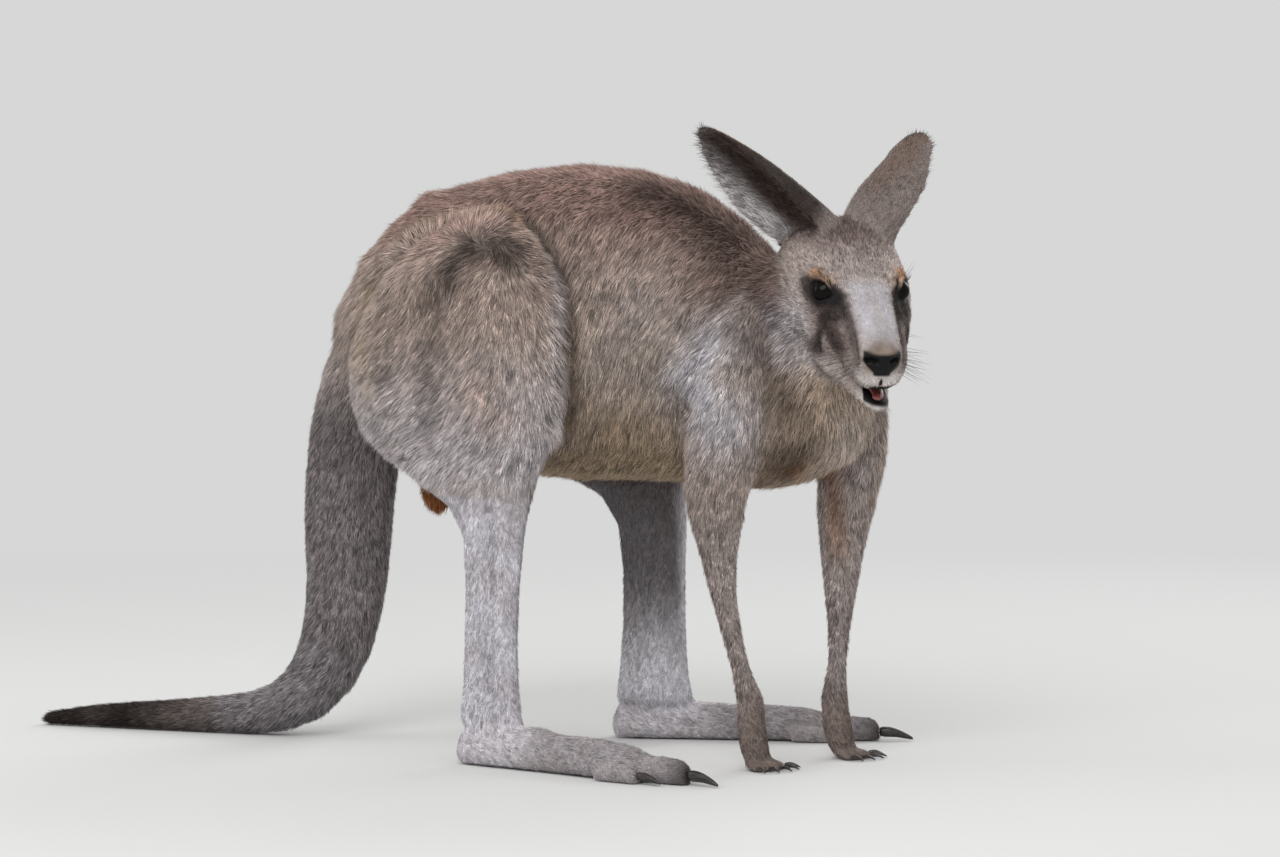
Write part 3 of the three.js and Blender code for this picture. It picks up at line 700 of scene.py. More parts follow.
BODY_MARKS_AND_SHADE = [
    ("buff", 0.55, [(-60, 80, 570), (0, 92, 594), (60, 112, 596), (101, 116, 586), (126, 122, 562)], 14),
    ("pale", 0.55, [(112, 118, 578), (138, 124, 542), (150, 130, 505), (158, 140, 400)], 9),
    ("warm", 0.25, HIP_ROLL[1:8], 16),
    # Painted shade in the hollow under the hip roll and down the hollows of the thigh, with some darker fur.
    ("dark", 0.62, [(104, 145, 548), (80, 148, 556), (52, 152, 550), (38, 160, 528)], 14),
    ("dark", 0.34, [(38, 160, 520), (20, 165, 490)], 15),
    ("dark", 0.3, [(18, 168, 460), (24, 178, 390), (21, 181, 350)], 14),
    ("buff", 0.5, [(-85, 95, 500), (-95, 95, 430)], 30),
    ("rust", 0.16, [(80, 165, 400), (100, 160, 375)], 20),
    ("buff", 0.45, [(178, 120, 470), (182, 120, 400), (178, 110, 350)], 20),
    ("pale", 0.88, [(325, 105, 455), (300, 110, 420), (345, 118, 370)], 40),
    ("pale", 0.3, [(215, 120, 440), (250, 118, 480)], 46),
    ("buff", 0.3, [(215, 120, 440), (320, 110, 440)], 46),
    # Painted shade in the hollows of the thigh, where the hair parts and its darker roots show.
    ("dark", 0.4, [(2, 166, 484)], 12),
    ("dark", 0.4, [(-37, 170, 420)], 12),
    ("buff", 0.5, [(-78, 156, 450), (-58, 165, 398)], 20),
    ("dark", 0.6, [(228, 50, 616), (284, 45, 594), (320, 45, 561)], 32),
    ("dark", 0.45, [(331, 45, 551), (371, 75, 505)], 30),
    ("dark", 0.32, [(367, 95, 467), (385, 85, 430), (407, 81, 393)], 24),
    # Painted shade on the chest under the head.
    ("dark", 0.4, [(409, 61, 340), (392, 55, 322)], 22),
    ("pale", 0.3, [(449, 22, 371), (440, 20, 340)], 26),
    ("dark", 0.2, [(386, -40, 200), (392, -42, 150)], 30),
    # Painted shade in the crease along the hip roll and in the notch where the arm meets the flank.
    ("dark", 0.75, HIP_CREASE, 7),
    ("dark", 0.9, [(290, 105, 383), (280, 111, 398)], 12),
    ("rust", 0.4, [(395, 40, 330), (402, 45, 230)], 14),
    # Painted shade in the groove along the shank.
    ("dark", 0.5, [(99, 184, 270), (99, 186, 180), (97, 183, 80)], 6),
]


def tinted(masks, weight, **amounts):
    """Draws each named mask towards its amount where the weight is."""
    for name, amount in amounts.items():
        k = MASKS.index(name)
        masks[:, k] += (amount - masks[:, k]) * weight


def paint_body(masks, points, out, names):
    """The great fields of colour, by height and by the way the surface faces, then the body's marks. Among
    them is painted light and shade: darker upward faces of the back, shaded inner sides of the legs,
    lightened inner sides of the arms, and dark hollows, creases and grooves.
    """
    x, y, z = points.T
    up = out[:, 2]
    body, thigh = on(names, "trunk", "neck"), on(names, "thigh")
    top = (body | thigh) * step(0.0, 0.8, up + 1.2 * (z - 0.56))
    tinted(masks, top * step(0.50, 0.60, z), warm=0.85)
    # Darker where the back faces up: partly the darker fur of the back, partly painted shade that tones down
    # the light from above.
    tinted(masks, body * step(0.2, 0.8, up) * step(0.50, 0.58, z), dark=0.16)
    tinted(masks, body * step(0.26, 0.34, x) * step(0.43, 0.52, z), warm=0.7, dark=0.2)
    tinted(masks, body * step(0.48, 0.38, z), buff=0.35)
    tinted(masks, body * step(0.0, -0.75, up) * step(0.46, 0.38, z), buff=0.8)
    tinted(masks, body * step(0.1, -0.75, up), warm=0.0)
    tinted(masks, body * step(0.30, 0.38, x) * step(0.48, 0.40, z), buff=0.45)
    tinted(masks, thigh * step(0.50, 0.34, z), pale=0.66)
    tinted(masks, (names == "tail_lower") * step(0.16, 0.08, z), pale=0.85)
    root_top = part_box("tail_root")[1][2]
    tinted(masks, (names == "tail_root") * step(root_top - 0.09, root_top - 0.015, z), dark=0.14, pale=0.3)
    tinted(masks, (names == "trunk") * around(points, centre("tail_root"), 0.1), dark=0.22, pale=0.45)
    tinted(masks, step(-0.36, -0.44, x) * step(0.2, 0.1, z), dark=0.85)
    tinted(masks, on(names, "forearm") * step(0.12, 0.04, z), dark=0.4)
    tinted(masks, thigh * step(0.12, 0.2, x) * step(0.38, 0.3, z), pale=0.7)
    for side_name, side in SIDES.items():
        foot = on(names, "foot", "toe") & (np.sign(y) == side)
        ankle = centre("shank_" + side_name)[0] + 0.06
        tinted(masks, foot * step(0.0, 0.07, x - ankle), dark=0.24, pale=0.75)
        tinted(masks, foot * around(points, centre("claw_fourth_toe_1_" + side_name), 34 * MM), dark=0.85)
    # Painted shade on the inner sides of the legs; on the inner sides of the arms painted light, with their
    # paler fur.
    inner = step(0.0, 0.7, -np.sign(y) * out[:, 1]) * (z < 0.42)
    tinted(masks, inner * on(names, "shank", "thigh") * step(0.07, 0.2, z), dark=0.5)
    tinted(masks, inner * on(names, "upper_arm", "forearm"), pale=0.35)
    off_tail = ~on(names, "tail")
    for side in (1, -1):
        for name, amount, path, spread in BODY_MARKS_AND_SHADE:
            weight = near_path(points, placed(path, side), spread * MM)
            tinted(masks, weight * off_tail, **{name: amount})


def paint_face(masks, points, names):
    """The marks of the face with painted shade in its folds and grooves, the dark rings and brows of the eyes
    with painted shade of the brow and socket, and the bare lids, lips, nose and mouth, the inside of the
    mouth painted dark as its shade.
    """
    local = to_head(points)
    x, y, z = local.T
    face = on(names, *FACE_NODES)
    skull = face | (np.linalg.norm(local - (-130, 0, 0), axis=1) < 100) & on(names, "trunk", "neck")
    for side in (1, -1):
        for name, amount, path, spread in FACE_MARKS_AND_SHADE:
            weight = near_path(local, mirrored(path, side), spread)
            tinted(masks, weight * (skull if name == "pale" else face), **{name: amount})
        size, _, ahead = eye_ellipse(local, side)
        front = face * (ahead > 0)
        # A dark ring about each eye: the dark skin of the lids, with painted shade of the brow and socket.
        tinted(masks, front * step(2.1, 1.3, size), dark=0.9, pale=0.0)
        brow = face * np.minimum(1.4 * near_path(local, mirrored(BROW, side), 6.5), 1)
        tinted(masks, brow, dark=0.06, pale=0.0, rust=0.36, buff=0.6)
        tinted(masks, front * step(1.3, 1.16, size), bare=1.0)
        lips = near_path(local, mirrored(MOUTH_LINE, side), 3.4)
        tinted(masks, face * step(0.35, 0.7, lips), bare=1.0)
    half_pad = 9 + 11 * step(-22, -8, z)
    pad = step(-17, -12, x) * step(3, -1, z) * step(-25, -22, z)
    pad *= step(half_pad + 1.2, half_pad - 1.2, np.abs(y))
    tinted(masks, face * pad, bare=1.0)
    tinted(masks, face * step(0.4, 0.7, near_path(local, PHILTRUM, 2.6)), bare=1.0)
    # The open mouth's gap takes the dark bare colour: painted shade inside the mouth.
    gap = step(-34, -37, z) * step(-62, -58, z) * step(-92, -84, x)
    inward = np.abs(y - 3) < 14 - 0.1 * np.abs(x + 10)
    tinted(masks, face * gap * inward, bare=1.0)


def paint_ears(masks, points, out, names):
    """Dark backs with a rusty rim and a band of painted shade where they turn away from the cup, and pale
    cups that a dark fold crosses, more on the right ear.
    """
    up = out[:, 2]
    amounts = {-1: {"rim": 0.5, "band": 0.82, "root": 0.7}, 1: {"rim": 0.3, "band": 0.34, "root": 0.2}}
    for side in (1, -1):
        amount = amounts[side]
        here = names == EAR_NODES[side]
        root, along, opening = ear_axes(side)
        cup = here * step(-0.05, 0.2, ear_inside(points, out, side))
        back = here * (1 - cup)
        far = np.clip((points - root) @ along / EAR_LENGTH, 0, 1)
        across = (points - root) @ np.cross(along, opening) / EAR_HALF_WIDTH * side
        tinted(masks, back * step(0.62, 0.95, up) * step(0.1, 0.4, far), rust=amount["rim"])
        tinted(masks, back * step(0.85, 1.0, far), dark=0.6)
        # Painted shade: a dark band on the back of the ear where it faces away from the cup, more where it
        # faces down, far more on the right ear.
        band = back * step(-0.9, -0.5, out @ opening) * step(-0.02, 0.1, far)
        tinted(masks, band * (0.6 + 0.4 * step(0.98, 0.7, up)), dark=amount["band"])
        tinted(masks, cup, warm=0.0, dark=0.64, rust=0.0, pale=0.7)
        tinted(masks, cup * np.maximum(step(0.4, 0.05, far), step(0.45, 0.9, across)), white=0.5, dark=0.2)
        fold = FOLD_AT_TIP + FOLD_LOWER * step(0.9, 0.25, far)
        lining = cup * np.exp(-(((across - fold - 0.36) / 0.24) ** 2))
        tinted(masks, lining * (0.35 + 0.65 * step(0.7, 0.3, far)), white=0.6, dark=0.2)
        folded = cup * step(fold + 0.2, fold - 0.1, across) * step(1.0, 0.85, far)
        tinted(masks, folded, white=0.0, pale=0.0, dark=0.74, warm=0.7)
        low = around(points, root + along * 0.004, 22 * MM) * (on(names, *FACE_NODES) | here)
        tinted(masks, low, dark=amount["root"], warm=0.6)
        tinted(masks, back * step(0.5, 0.95, across) * step(0.75, 0.5, far), white=0.6, dark=0.05)


def paint(points, out, names, masks):
    """Paints all the markings, and the painted light and shade, on the masks."""
    paint_body(masks, points, out, names)
    paint_face(masks, points, names)
    paint_ears(masks, points, out, names)
    return np.clip(masks, 0, [1.7 if name == "grizzle" else 1 for name in MASKS])


def resize(sizes, masks, co, out, names):
    """Makes the tufts shorter, longer or more raised where the coat asks for it."""
    length, lift = sizes[:, FIELDS.index("long")], sizes[:, FIELDS.index("lift")]
    back = on(names, "trunk", "neck") * step(0.3, 0.9, out[:, 2]) * step(0.4, 0.5, co[:, 2])
    length *= 1 - 0.35 * back
    cups = sum(ear_inside(co, out, side) * (names == EAR_NODES[side]) for side in (1, -1))
    length *= 1 + 0.9 * step(0.0, 0.3, cups)
    lift *= 1 + 0.6 * step(0.0, 0.3, cups)
    local = to_head(co)
    face = on(names, *FACE_NODES)
    length *= 1 - 0.35 * step(-60, -20, local[:, 0]) * face
    bridge = near(local, (-80, 0, 44), (-26, 0, 16), 24) * face
    length *= 1 - 0.4 * bridge
    lift *= 1 - 0.4 * bridge
    length *= 1 + 1.1 * masks[:, MASKS.index("white")] * on(names, "ear")
    for side in (-1, 1):
        ruff = near_path(local, mirrored(RUFF, side), 28) * face
        length *= 1 + 0.5 * ruff
        fringe = near_path(co, placed(HIP_ROLL, side), 15 * MM) * on(names, "thigh")
        length *= 1 + 0.3 * fringe
        lift += 0.24 * fringe
        length *= 1 - 0.45 * near_path(co, placed([WHORL], side), 13 * MM) * on(names, "thigh")
    crown = near(local, (-170, 0, 66), (-196, 0, 66), 27) * face
    length *= 1 + 0.6 * crown
    lift += 0.15 * crown + 0.16 * back


def skin_fields(mesh):
    """Everything that the coat needs to know at each corner of the skin."""
    co, out, edges = corners(mesh), normals(mesh), edges_of(mesh)
    label, _ = labelled(co, SKIN_NODES)
    names = np.array(SKIN_NODES)[label]
    rows = [COATS[coat_of(n)] for n in SKIN_NODES]
    sizes = spreading(np.array([[r[f] for f in FIELDS] for r in rows])[label], edges, 14)
    masks = spreading(np.array([r["shade"] for r in rows])[label], edges, 26)
    masks = paint(co, out, names, masks)
    lie = spreading(lie_guides(co, out, names), edges, np.where(on(names, "ear"), 4, 30))
    resize(sizes, masks, co, out, names)
    keep(mesh, "marks_and_shade", masks[:, :4])
    keep(mesh, "tints", masks[:, 4:])
    return {"co": co, "out": out, "names": names, "sizes": sizes, "masks": masks, "lie": flattened(lie, out)}


# ---------- the tufts ----------
PATCH = 0.003  # how much of the bake map one tuft has
TUFT_FACES = np.array([(0, 2, 1), (0, 1, 3), (1, 2, 3), (2, 0, 3)])  # three corners at the root and one tip
TUFT_SPOTS = [(-0.5, -0.5), (0.5, -0.5), (0, -0.35), (0, 0.5)]
MOST_TUFTS = 199000 // len(TUFT_FACES)  # in one piece
IN_A_LOCK = 10


def unwrapped(name, points, triangles):
    """Where each corner of each triangle lies on a flat unwrap of this stretch of skin."""
    piece = only(new_object(name, mesh_from(name, points, triangles)))
    bpy.ops.object.mode_set(mode="EDIT")
    bpy.ops.mesh.select_all(action="SELECT")
    bpy.ops.uv.smart_project(angle_limit=math.radians(62), island_margin=0.003)
    bpy.ops.object.mode_set(mode="OBJECT")
    uv = np.empty(triangles.size * 2, np.float32)
    piece.data.uv_layers.active.data.foreach_get("uv", uv)
    bpy.data.objects.remove(piece)
    return uv.reshape(-1, 3, 2)


def scattered(rng, fields, triangles):
    """The triangle that each tuft grows from, and its place there as shares of the three corners."""
    a, b, c = (fields["co"][triangles[:, k]] for k in range(3))
    area = np.linalg.norm(np.cross(b - a, c - a), axis=1) / 2 / MM**2
    apart = fields["sizes"][triangles, FIELDS.index("apart")].mean(axis=1)
    bare = fields["masks"][triangles, MASKS.index("bare")].max(axis=1)
    wanted = np.cumsum(area / apart**2 * (bare < 0.35))
    count = min(int(wanted[-1]), MOST_TUFTS)
    pick = np.searchsorted(wanted, (np.arange(count) + rng.random(count)) / count * wanted[-1])
    share = rng.random((count, 2))
    share = np.where(share.sum(axis=1, keepdims=True) > 1, 1 - share, share)
    return np.minimum(pick, len(triangles) - 1), np.column_stack([1 - share.sum(axis=1), share])


def locks(rng, root):
    """The tufts that lead the locks, and for each tuft the lock it belongs to."""
    leaders = rng.choice(len(root), max(len(root) // IN_A_LOCK, 1), replace=False)
    tree = KDTree(len(leaders))
    for k, leader in enumerate(leaders):
        tree.insert(root[leader], k)
    tree.balance()
    return leaders, np.array([tree.find(p)[1] for p in root])


def grow(name, fields, triangles, seed):
    """The tufts of one stretch of the coat, as one mesh. Those of a lock lean towards its leader's line."""
    rng = np.random.default_rng(seed)
    flat = unwrapped(name, fields["co"], triangles)
    pick, share = scattered(rng, fields, triangles)
    count = len(pick)

    def at(values):
        return np.einsum("nk,nk...->n...", share, values)

    def of(key):
        return at(fields[key][triangles[pick]])

    def varied(between_locks, within):
        return rng.normal(0, between_locks, len(leaders))[lock] + rng.normal(0, within, count)

    root, out, lie, sizes, masks = of("co"), unit(of("out")), of("lie"), of("sizes"), of("masks")
    lie = flattened(lie, out)
    across = np.cross(out, lie)
    long, wide, lift = (sizes[:, k] for k in range(3))
    leaders, lock = locks(rng, root)
    way = unit(lie + across * varied(0.14, 0.13)[:, None])
    lean = np.einsum("ij,ij->i", root[leaders[lock]] - root, across)
    long = long * MM * rng.uniform(0.72, 1.18, count) * (1 + rng.normal(0, 0.12, len(leaders))[lock])
    lift = lift * rng.uniform(0.45, 1.5, count)
    wide = wide * MM * rng.uniform(0.75, 1.2, count)
    level = long * np.sqrt(1 - np.minimum(lift, 0.9) ** 2)
    tip = root + way * level[:, None] + out * (long * lift)[:, None]
    tip += across * (0.35 * lean)[:, None]
    root = root - out * (0.6 * MM)
    half = np.cross(out, unit(tip - root)) * (wide / 2)[:, None]
    places = np.stack([root - half, root + half, root + out * (wide * 0.55)[:, None], tip], 1)
    places[:, :, 2] = np.maximum(places[:, :, 2], 0.2 * MM)
    faces = (TUFT_FACES[None] + (np.arange(count) * 4)[:, None, None]).reshape(-1, 3)
    mesh = mesh_from(name, places.reshape(-1, 3), faces)
    keep(mesh, "tone", np.repeat(np.clip(varied(0.4, 0.68), -1.6, 1.4), 4))
    keep(mesh, "along", np.tile([0.0, 0.0, 0.0, 1.0], count))
    keep(mesh, "marks_and_shade", np.repeat(masks[:, :4], 4, axis=0))
    keep(mesh, "tints", np.repeat(masks[:, 4:], 4, axis=0))
    middle = np.clip(at(flat[pick]), PATCH, 1 - PATCH)
    uv = middle[:, None] + (np.array(TUFT_SPOTS) * PATCH)[TUFT_FACES.ravel()][None]
    mesh.uv_layers.new(name="OFBake").data.foreach_set("uv", uv.astype(np.float32).ravel())
    return new_object(name, mesh)


def stretches(fields):
    """Names the stretch of the coat that each corner of the skin belongs to."""
    names, co = fields["names"], fields["co"]
    side = np.where(co[:, 1] < 0, "_right", "_left")
    kinds = np.array([coat_of(n) for n in SKIN_NODES], dtype="<U24")
    stretch = kinds[np.searchsorted(SKIN_NODES, names)]
    groups = {
        "neck": "shoulders",
        "upper_arm": "shoulders",
        "forearm": "shoulders",
        "shank": "shanks",
        "tail_root": "tail",
        "tail_tip": "tail",
        "lower_jaw": "head",
        "nose": "head",
        "ear": "ears",
        "foot": "feet",
        "toe": "feet",
        "hand": "hands",
        "scrotum": "hands",
    }
    for part, group in groups.items():
        stretch[stretch == part] = group
    trunk = stretch == "trunk"
    back = trunk & (fields["out"][:, 2] > 0.45) & (co[:, 2] > 0.4)
    stretch[trunk] = np.char.add("flank", side[trunk])
    stretch[back] = "back"
    thigh = stretch == "thigh"
    stretch[thigh] = np.char.add("thigh", side[thigh])
    return stretch


def make_coats(skin):
    """The pieces of the coat, one for each stretch of the skin."""
    mesh = skin.data
    fields = skin_fields(mesh)
    triangles = np.empty(len(mesh.polygons) * 3, np.int32)
    mesh.polygons.foreach_get("vertices", triangles)
    triangles = triangles.reshape(-1, 3)
    stretch = stretches(fields)[triangles[:, 0]]
    made = []
    for k, name in enumerate(sorted(set(stretch))):
        piece = grow("coat_" + name, fields, triangles[stretch == name], 100 + k)
        made.append(piece)
    return made


# ---------- materials ----------


def socket(group, name, kind, default=None, output=False):
    made = group.interface.new_socket(name=name, in_out="OUTPUT" if output else "INPUT", socket_type=kind)
    if default is not None:
        made.default_value = default
    return made


def srgb(r, g, b):
    """A colour named by its red, green and blue out of 255, as the shader wants it."""
    shares = [c / 255 for c in (r, g, b)]
    return tuple(c / 12.92 if c <= 0.04045 else ((c + 0.055) / 1.055) ** 2.4 for c in shares) + (1.0,)


class Tree:
    """A node tree with short ways to add and join nodes."""

    def __init__(self, tree):
        self.tree = tree

    def node(self, kind, inputs=None, **settings):
        made = self.tree.nodes.new(kind)
        for key, value in settings.items():
            setattr(made, key, value)
        for key, value in (inputs or {}).items():
            self.feed(made.inputs[key], value)
        return made

    def feed(self, into, value):
        if isinstance(value, bpy.types.NodeSocket):
            self.tree.links.new(value, into)
        else:
            into.default_value = value

    def maths(self, operation, a, b=0.0, clamp=False):
        return self.node("ShaderNodeMath", {0: a, 1: b}, operation=operation, use_clamp=clamp).outputs[0]

    def mixed(self, a, b, share, blend="MIX"):
        made = self.node("ShaderNodeMix", data_type="RGBA", blend_type=blend)
        for key, value in ((0, share), (6, a), (7, b)):
            self.feed(made.inputs[key], value)
        return made.outputs[2]

    def ranged(self, value, low, high, to_low=0.0, to_high=1.0):
        inputs = {"Value": value, "From Min": low, "From Max": high, "To Min": to_low, "To Max": to_high}
        return self.node("ShaderNodeMapRange", inputs).outputs[0]

    def stored(self, name):
        return self.node("ShaderNodeAttribute", attribute_name=name).outputs["Fac"]

    def scaled_exp(self, value, scale):
        return self.maths("EXPONENT", self.maths("MULTIPLY", value, scale))

    def noise(self, vector, scale, detail=2.0, roughness=0.5):
        inputs = {"Vector": vector, "Scale": scale, "Detail": detail, "Roughness": roughness}
        return self.node("ShaderNodeTexNoise", inputs).outputs["Fac"]


def palette_colour(r, g, b):
    """A colour of the coat's palette before it is mixed: the colours are mixed as the eye sees them."""
    return (r / 255, g / 255, b / 255, 1.0)


PALETTE = {
    "grey brown": palette_colour(190, 172, 162),
    "warm": palette_colour(176, 145, 135),
    "buff": palette_colour(188, 166, 138),
    "pale": palette_colour(224, 221, 228),
    "white": palette_colour(242, 241, 240),
    "rust": palette_colour(172, 102, 56),
    # Dark serves the dark fur and also painted shade in creases, hollows, grooves and on shaded sides.
    "dark": palette_colour(36, 30, 28),
}


def coat_colour_group():
    """Mixes the coat's colours by the masks, then bands each hair and mottles the whole."""
    group = bpy.data.node_groups.new("coat colour", "ShaderNodeTree")
    for name in MASKS:
        socket(group, name, "NodeSocketFloat", 0.0)
    socket(group, "tone", "NodeSocketFloat", 0.0)
    socket(group, "along", "NodeSocketFloat", 0.4)
    socket(group, "Color", "NodeSocketColor", output=True)
    socket(group, "Roughness", "NodeSocketFloat", output=True)
    tree = Tree(group)
    given = tree.node("NodeGroupInput").outputs
    place = tree.node("ShaderNodeTexCoord").outputs["Object"]
    broad = tree.noise(place, 22.0, 3.0)
    small = tree.noise(place, 150.0, 2.0, 0.6)
    colour = PALETTE["grey brown"]
    for name in ("warm", "buff", "pale", "white", "rust", "dark"):
        wobble = tree.maths("MULTIPLY_ADD", broad, 0.5)
        wobble.node.inputs[2].default_value = 0.75
        share = tree.maths("MULTIPLY", given[name], wobble, clamp=True)
        colour = tree.mixed(colour, PALETTE[name], share)
    # Agouti hair: grey at the root, a light band below the tip, and a tip darker or paler by its tone.
    tone = tree.maths("MULTIPLY", given["tone"], given["grizzle"])
    banded = tree.ranged(given["along"], 0.1, 0.85, 0.56, 1.42)
    bright = tree.maths("MULTIPLY", banded, tree.scaled_exp(tone, 0.62))
    at_tip = tree.ranged(given["along"], 0.4, 1.0, 0.0, 0.35)
    tipped = tree.maths("MULTIPLY", tree.ranged(tone, 0.5, 1.7), at_tip)
    colour = tree.mixed(colour, PALETTE["white"], tipped)
    fine_mottle = tree.ranged(small, 0.3, 0.7, -0.13, 0.13)
    mottle = tree.maths("ADD", fine_mottle, tree.ranged(broad, 0.3, 0.7, 0.9, 1.1))
    bright = tree.maths("MULTIPLY", bright, mottle)
    bright = tree.maths("MINIMUM", tree.maths("MAXIMUM", bright, 0.18), 1.75)
    grey = tree.node("ShaderNodeCombineColor", {0: bright, 1: bright, 2: bright}).outputs[0]
    colour = tree.node("ShaderNodeGamma", {"Color": colour, "Gamma": 2.2}).outputs[0]
    colour = tree.mixed(colour, grey, 1.0, "MULTIPLY")
    # The dark bare colour: the bare skin of nose, lips and lids, and painted shade inside the open mouth.
    colour = tree.mixed(colour, srgb(16, 14, 15), given["bare"])
    rough = tree.ranged(small, 0.3, 0.7, 0.62, 0.78)
    rough = tree.maths("SUBTRACT", rough, tree.maths("MULTIPLY", given["bare"], 0.2))
    tree.node("NodeGroupOutput", {"Color": colour, "Roughness": rough})
    return group


COAT_COLOUR = coat_colour_group()


def new_material(name):
    """A material, its node tree, its shader and the place on the object that its patterns follow."""
    made = bpy.data.materials.new(name)
    made.use_nodes = True
    tree = Tree(made.node_tree)
    place = tree.node("ShaderNodeTexCoord").outputs["Object"]
    return made, tree, made.node_tree.nodes["Principled BSDF"], place


def finished(tree, shader, colour, rough, height=None, strength=0.0, depth=0.0):
    """Feeds a shader its colour, its roughness and, where a height is given, a bump."""
    tree.feed(shader.inputs["Base Color"], colour)
    tree.feed(shader.inputs["Roughness"], rough)
    if height is not None:
        bump = tree.node("ShaderNodeBump", {"Height": height, "Strength": strength, "Distance": depth})
        tree.feed(shader.inputs["Normal"], bump.outputs[0])


def by_the_masks(tree, given):
    """A coat colour node fed by the stored masks, and by what else is given."""
    group = tree.node("ShaderNodeGroup", given, node_tree=COAT_COLOUR)
    for attribute, names in (("marks_and_shade", MASKS[:4]), ("tints", MASKS[4:])):
        stored = tree.node("ShaderNodeAttribute", attribute_name=attribute)
        parts = tree.node("ShaderNodeSeparateColor", {0: stored.outputs["Color"]}).outputs
        for name, part in zip(names, [parts[0], parts[1], parts[2], stored.outputs["Alpha"]]):
            tree.feed(group.inputs[name], part)
    return group.outputs["Color"], group.outputs["Roughness"]


def coat_material():
    made, tree, shader, place = new_material("coat")
    colour, rough = by_the_masks(tree, {"tone": tree.stored("tone"), "along": tree.stored("along")})
    finished(tree, shader, colour, rough, tree.noise(place, 900.0, 2.0), 0.35, 0.8 * MM)
    shader.inputs["Specular IOR Level"].default_value = 0.12
    return made


def skin_material():
    made, tree, shader, place = new_material("skin")
    colour, rough = by_the_masks(tree, {"along": 0.22})
    finished(tree, shader, colour, rough, tree.noise(place, 700.0, 3.0, 0.6), 0.5, 1.2 * MM)
    shader.inputs["Specular IOR Level"].default_value = 0.16
    return made


def dressed(item, material):
    """Gives a piece this material alone."""
    item.data.materials.clear()
    item.data.materials.append(material)
    return item


# ---------- eyes ----------


def make_eye(side_name):
    """An eyeball with a cornea that swells in front of the iris."""
    side = SIDES[side_name]
    bpy.ops.object.select_all(action="DESELECT")
    size = {"radius": EYE_RADIUS * MM, "location": (0, 0, 0)}
    bpy.ops.mesh.primitive_uv_sphere_add(segments=64, ring_count=40, **size)
    eye = bpy.context.object
    eye.name = eye.data.name = "eyeball_" + side_name
    bpy.ops.object.shade_smooth()
    co = corners(eye.data)
    axis = eye_frame(side)[1] @ HEAD_AXES.T
    angle = np.arccos(np.clip(unit(co) @ axis, -1, 1))
    swell = 1 + 0.05 * step(0.72, 0.15, angle) - 0.02
    move_to(eye.data, co * swell[:, None] + centre("eye_" + side_name))
    keep(eye.data, "angle", angle)
    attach(eye, "root")
    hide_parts("eye_" + side_name)
    return eye


def eye_material():
    made, tree, shader, place = new_material("eye")
    angle = tree.stored("angle")
    streak = tree.noise(place, 420.0, 3.0)
    # Near black iris, pupil and white: the eye's own dark colour, with the shade of the brow and lids painted
    # in.
    iris = tree.mixed(srgb(6, 4, 4), srgb(15, 10, 8), tree.ranged(streak, 0.35, 0.7))
    pupil = tree.ranged(angle, 0.26, 0.31)
    white = tree.ranged(angle, 0.92, 1.05)
    colour = tree.mixed(srgb(6, 5, 5), iris, pupil)
    colour = tree.mixed(colour, srgb(30, 22, 18), white)
    finished(tree, shader, colour, tree.ranged(streak, 0.3, 0.7, 0.05, 0.09), streak, 0.05, 0.2 * MM)
    shader.inputs["Specular IOR Level"].default_value = 0.05
    shader.inputs["Coat Weight"].default_value = 0.1
    shader.inputs["Coat Roughness"].default_value = 0.03
    return made


# ---------- claws and tongue ----------


def rounded(nodes, name, levels=2):
    """The CAD's own faceted pieces, made smooth."""
    piece = joined([copy_of(n) for n in nodes], name)
    modified(piece, "SUBSURF", levels=levels, render_levels=levels)
    only(piece)
    bpy.ops.object.shade_smooth()
    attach(piece, "root")
    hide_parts(*nodes)
    return piece


def claw_material():
    made, tree, shader, place = new_material("claw horn")
    stretched = tree.node("ShaderNodeMapping", {"Vector": place, "Scale": (60.0, 500.0, 500.0)}).outputs[0]
    ridges = tree.noise(stretched, 1.0, 3.0)
    colour = tree.mixed(srgb(20, 18, 18), srgb(62, 55, 50), tree.ranged(ridges, 0.35, 0.75))
    finished(tree, shader, colour, tree.ranged(ridges, 0.3, 0.7, 0.25, 0.45), ridges, 0.4, 0.6 * MM)
    return made


def tongue_material():
    made, tree, shader, place = new_material("tongue")
    buds = tree.noise(place, 600.0, 3.0)
    colour = tree.mixed(srgb(84, 36, 36), srgb(126, 66, 62), tree.ranged(buds, 0.3, 0.7))
    finished(tree, shader, colour, tree.ranged(buds, 0.3, 0.7, 0.25, 0.5), buds, 0.5, 0.8 * MM)
    return made


# ---------- whiskers, lashes and bristles ----------
WHISKER_RADIUS = 0.19
LASH_RADIUS = 0.3
LASHES = 17  # on each upper lid


def tapered(path, radius, sides=4):
    """A hair along a path: rings that thin out to a point."""
    path = np.asarray(path, float)
    run = unit(np.gradient(path, axis=0))
    across = unit(np.cross(run, (0.31, 0.17, 0.93)))
    over = np.cross(run, across)
    places = []
    for k, spot in enumerate(path[:-1]):
        size = radius * (1 - (k / (len(path) - 1)) ** 1.5)
        for turn in range(sides):
            angle = 2 * math.pi * turn / sides
            places.append(spot + size * (math.cos(angle) * across[k] + math.sin(angle) * over[k]))
    places.append(path[-1])
    faces = []
    rings = len(path) - 1
    for ring in range(rings - 1):
        for turn in range(sides):
            a, b = ring * sides + turn, ring * sides + (turn + 1) % sides
            faces += [(a, b, b + sides), (a, b + sides, a + sides)]
    last = (rings - 1) * sides
    faces += [(last + turn, last + (turn + 1) % sides, rings * sides) for turn in range(sides)]
    faces += [(0, turn + 1, turn) for turn in range(1, sides - 1)]
    return np.array(places), np.array(faces)


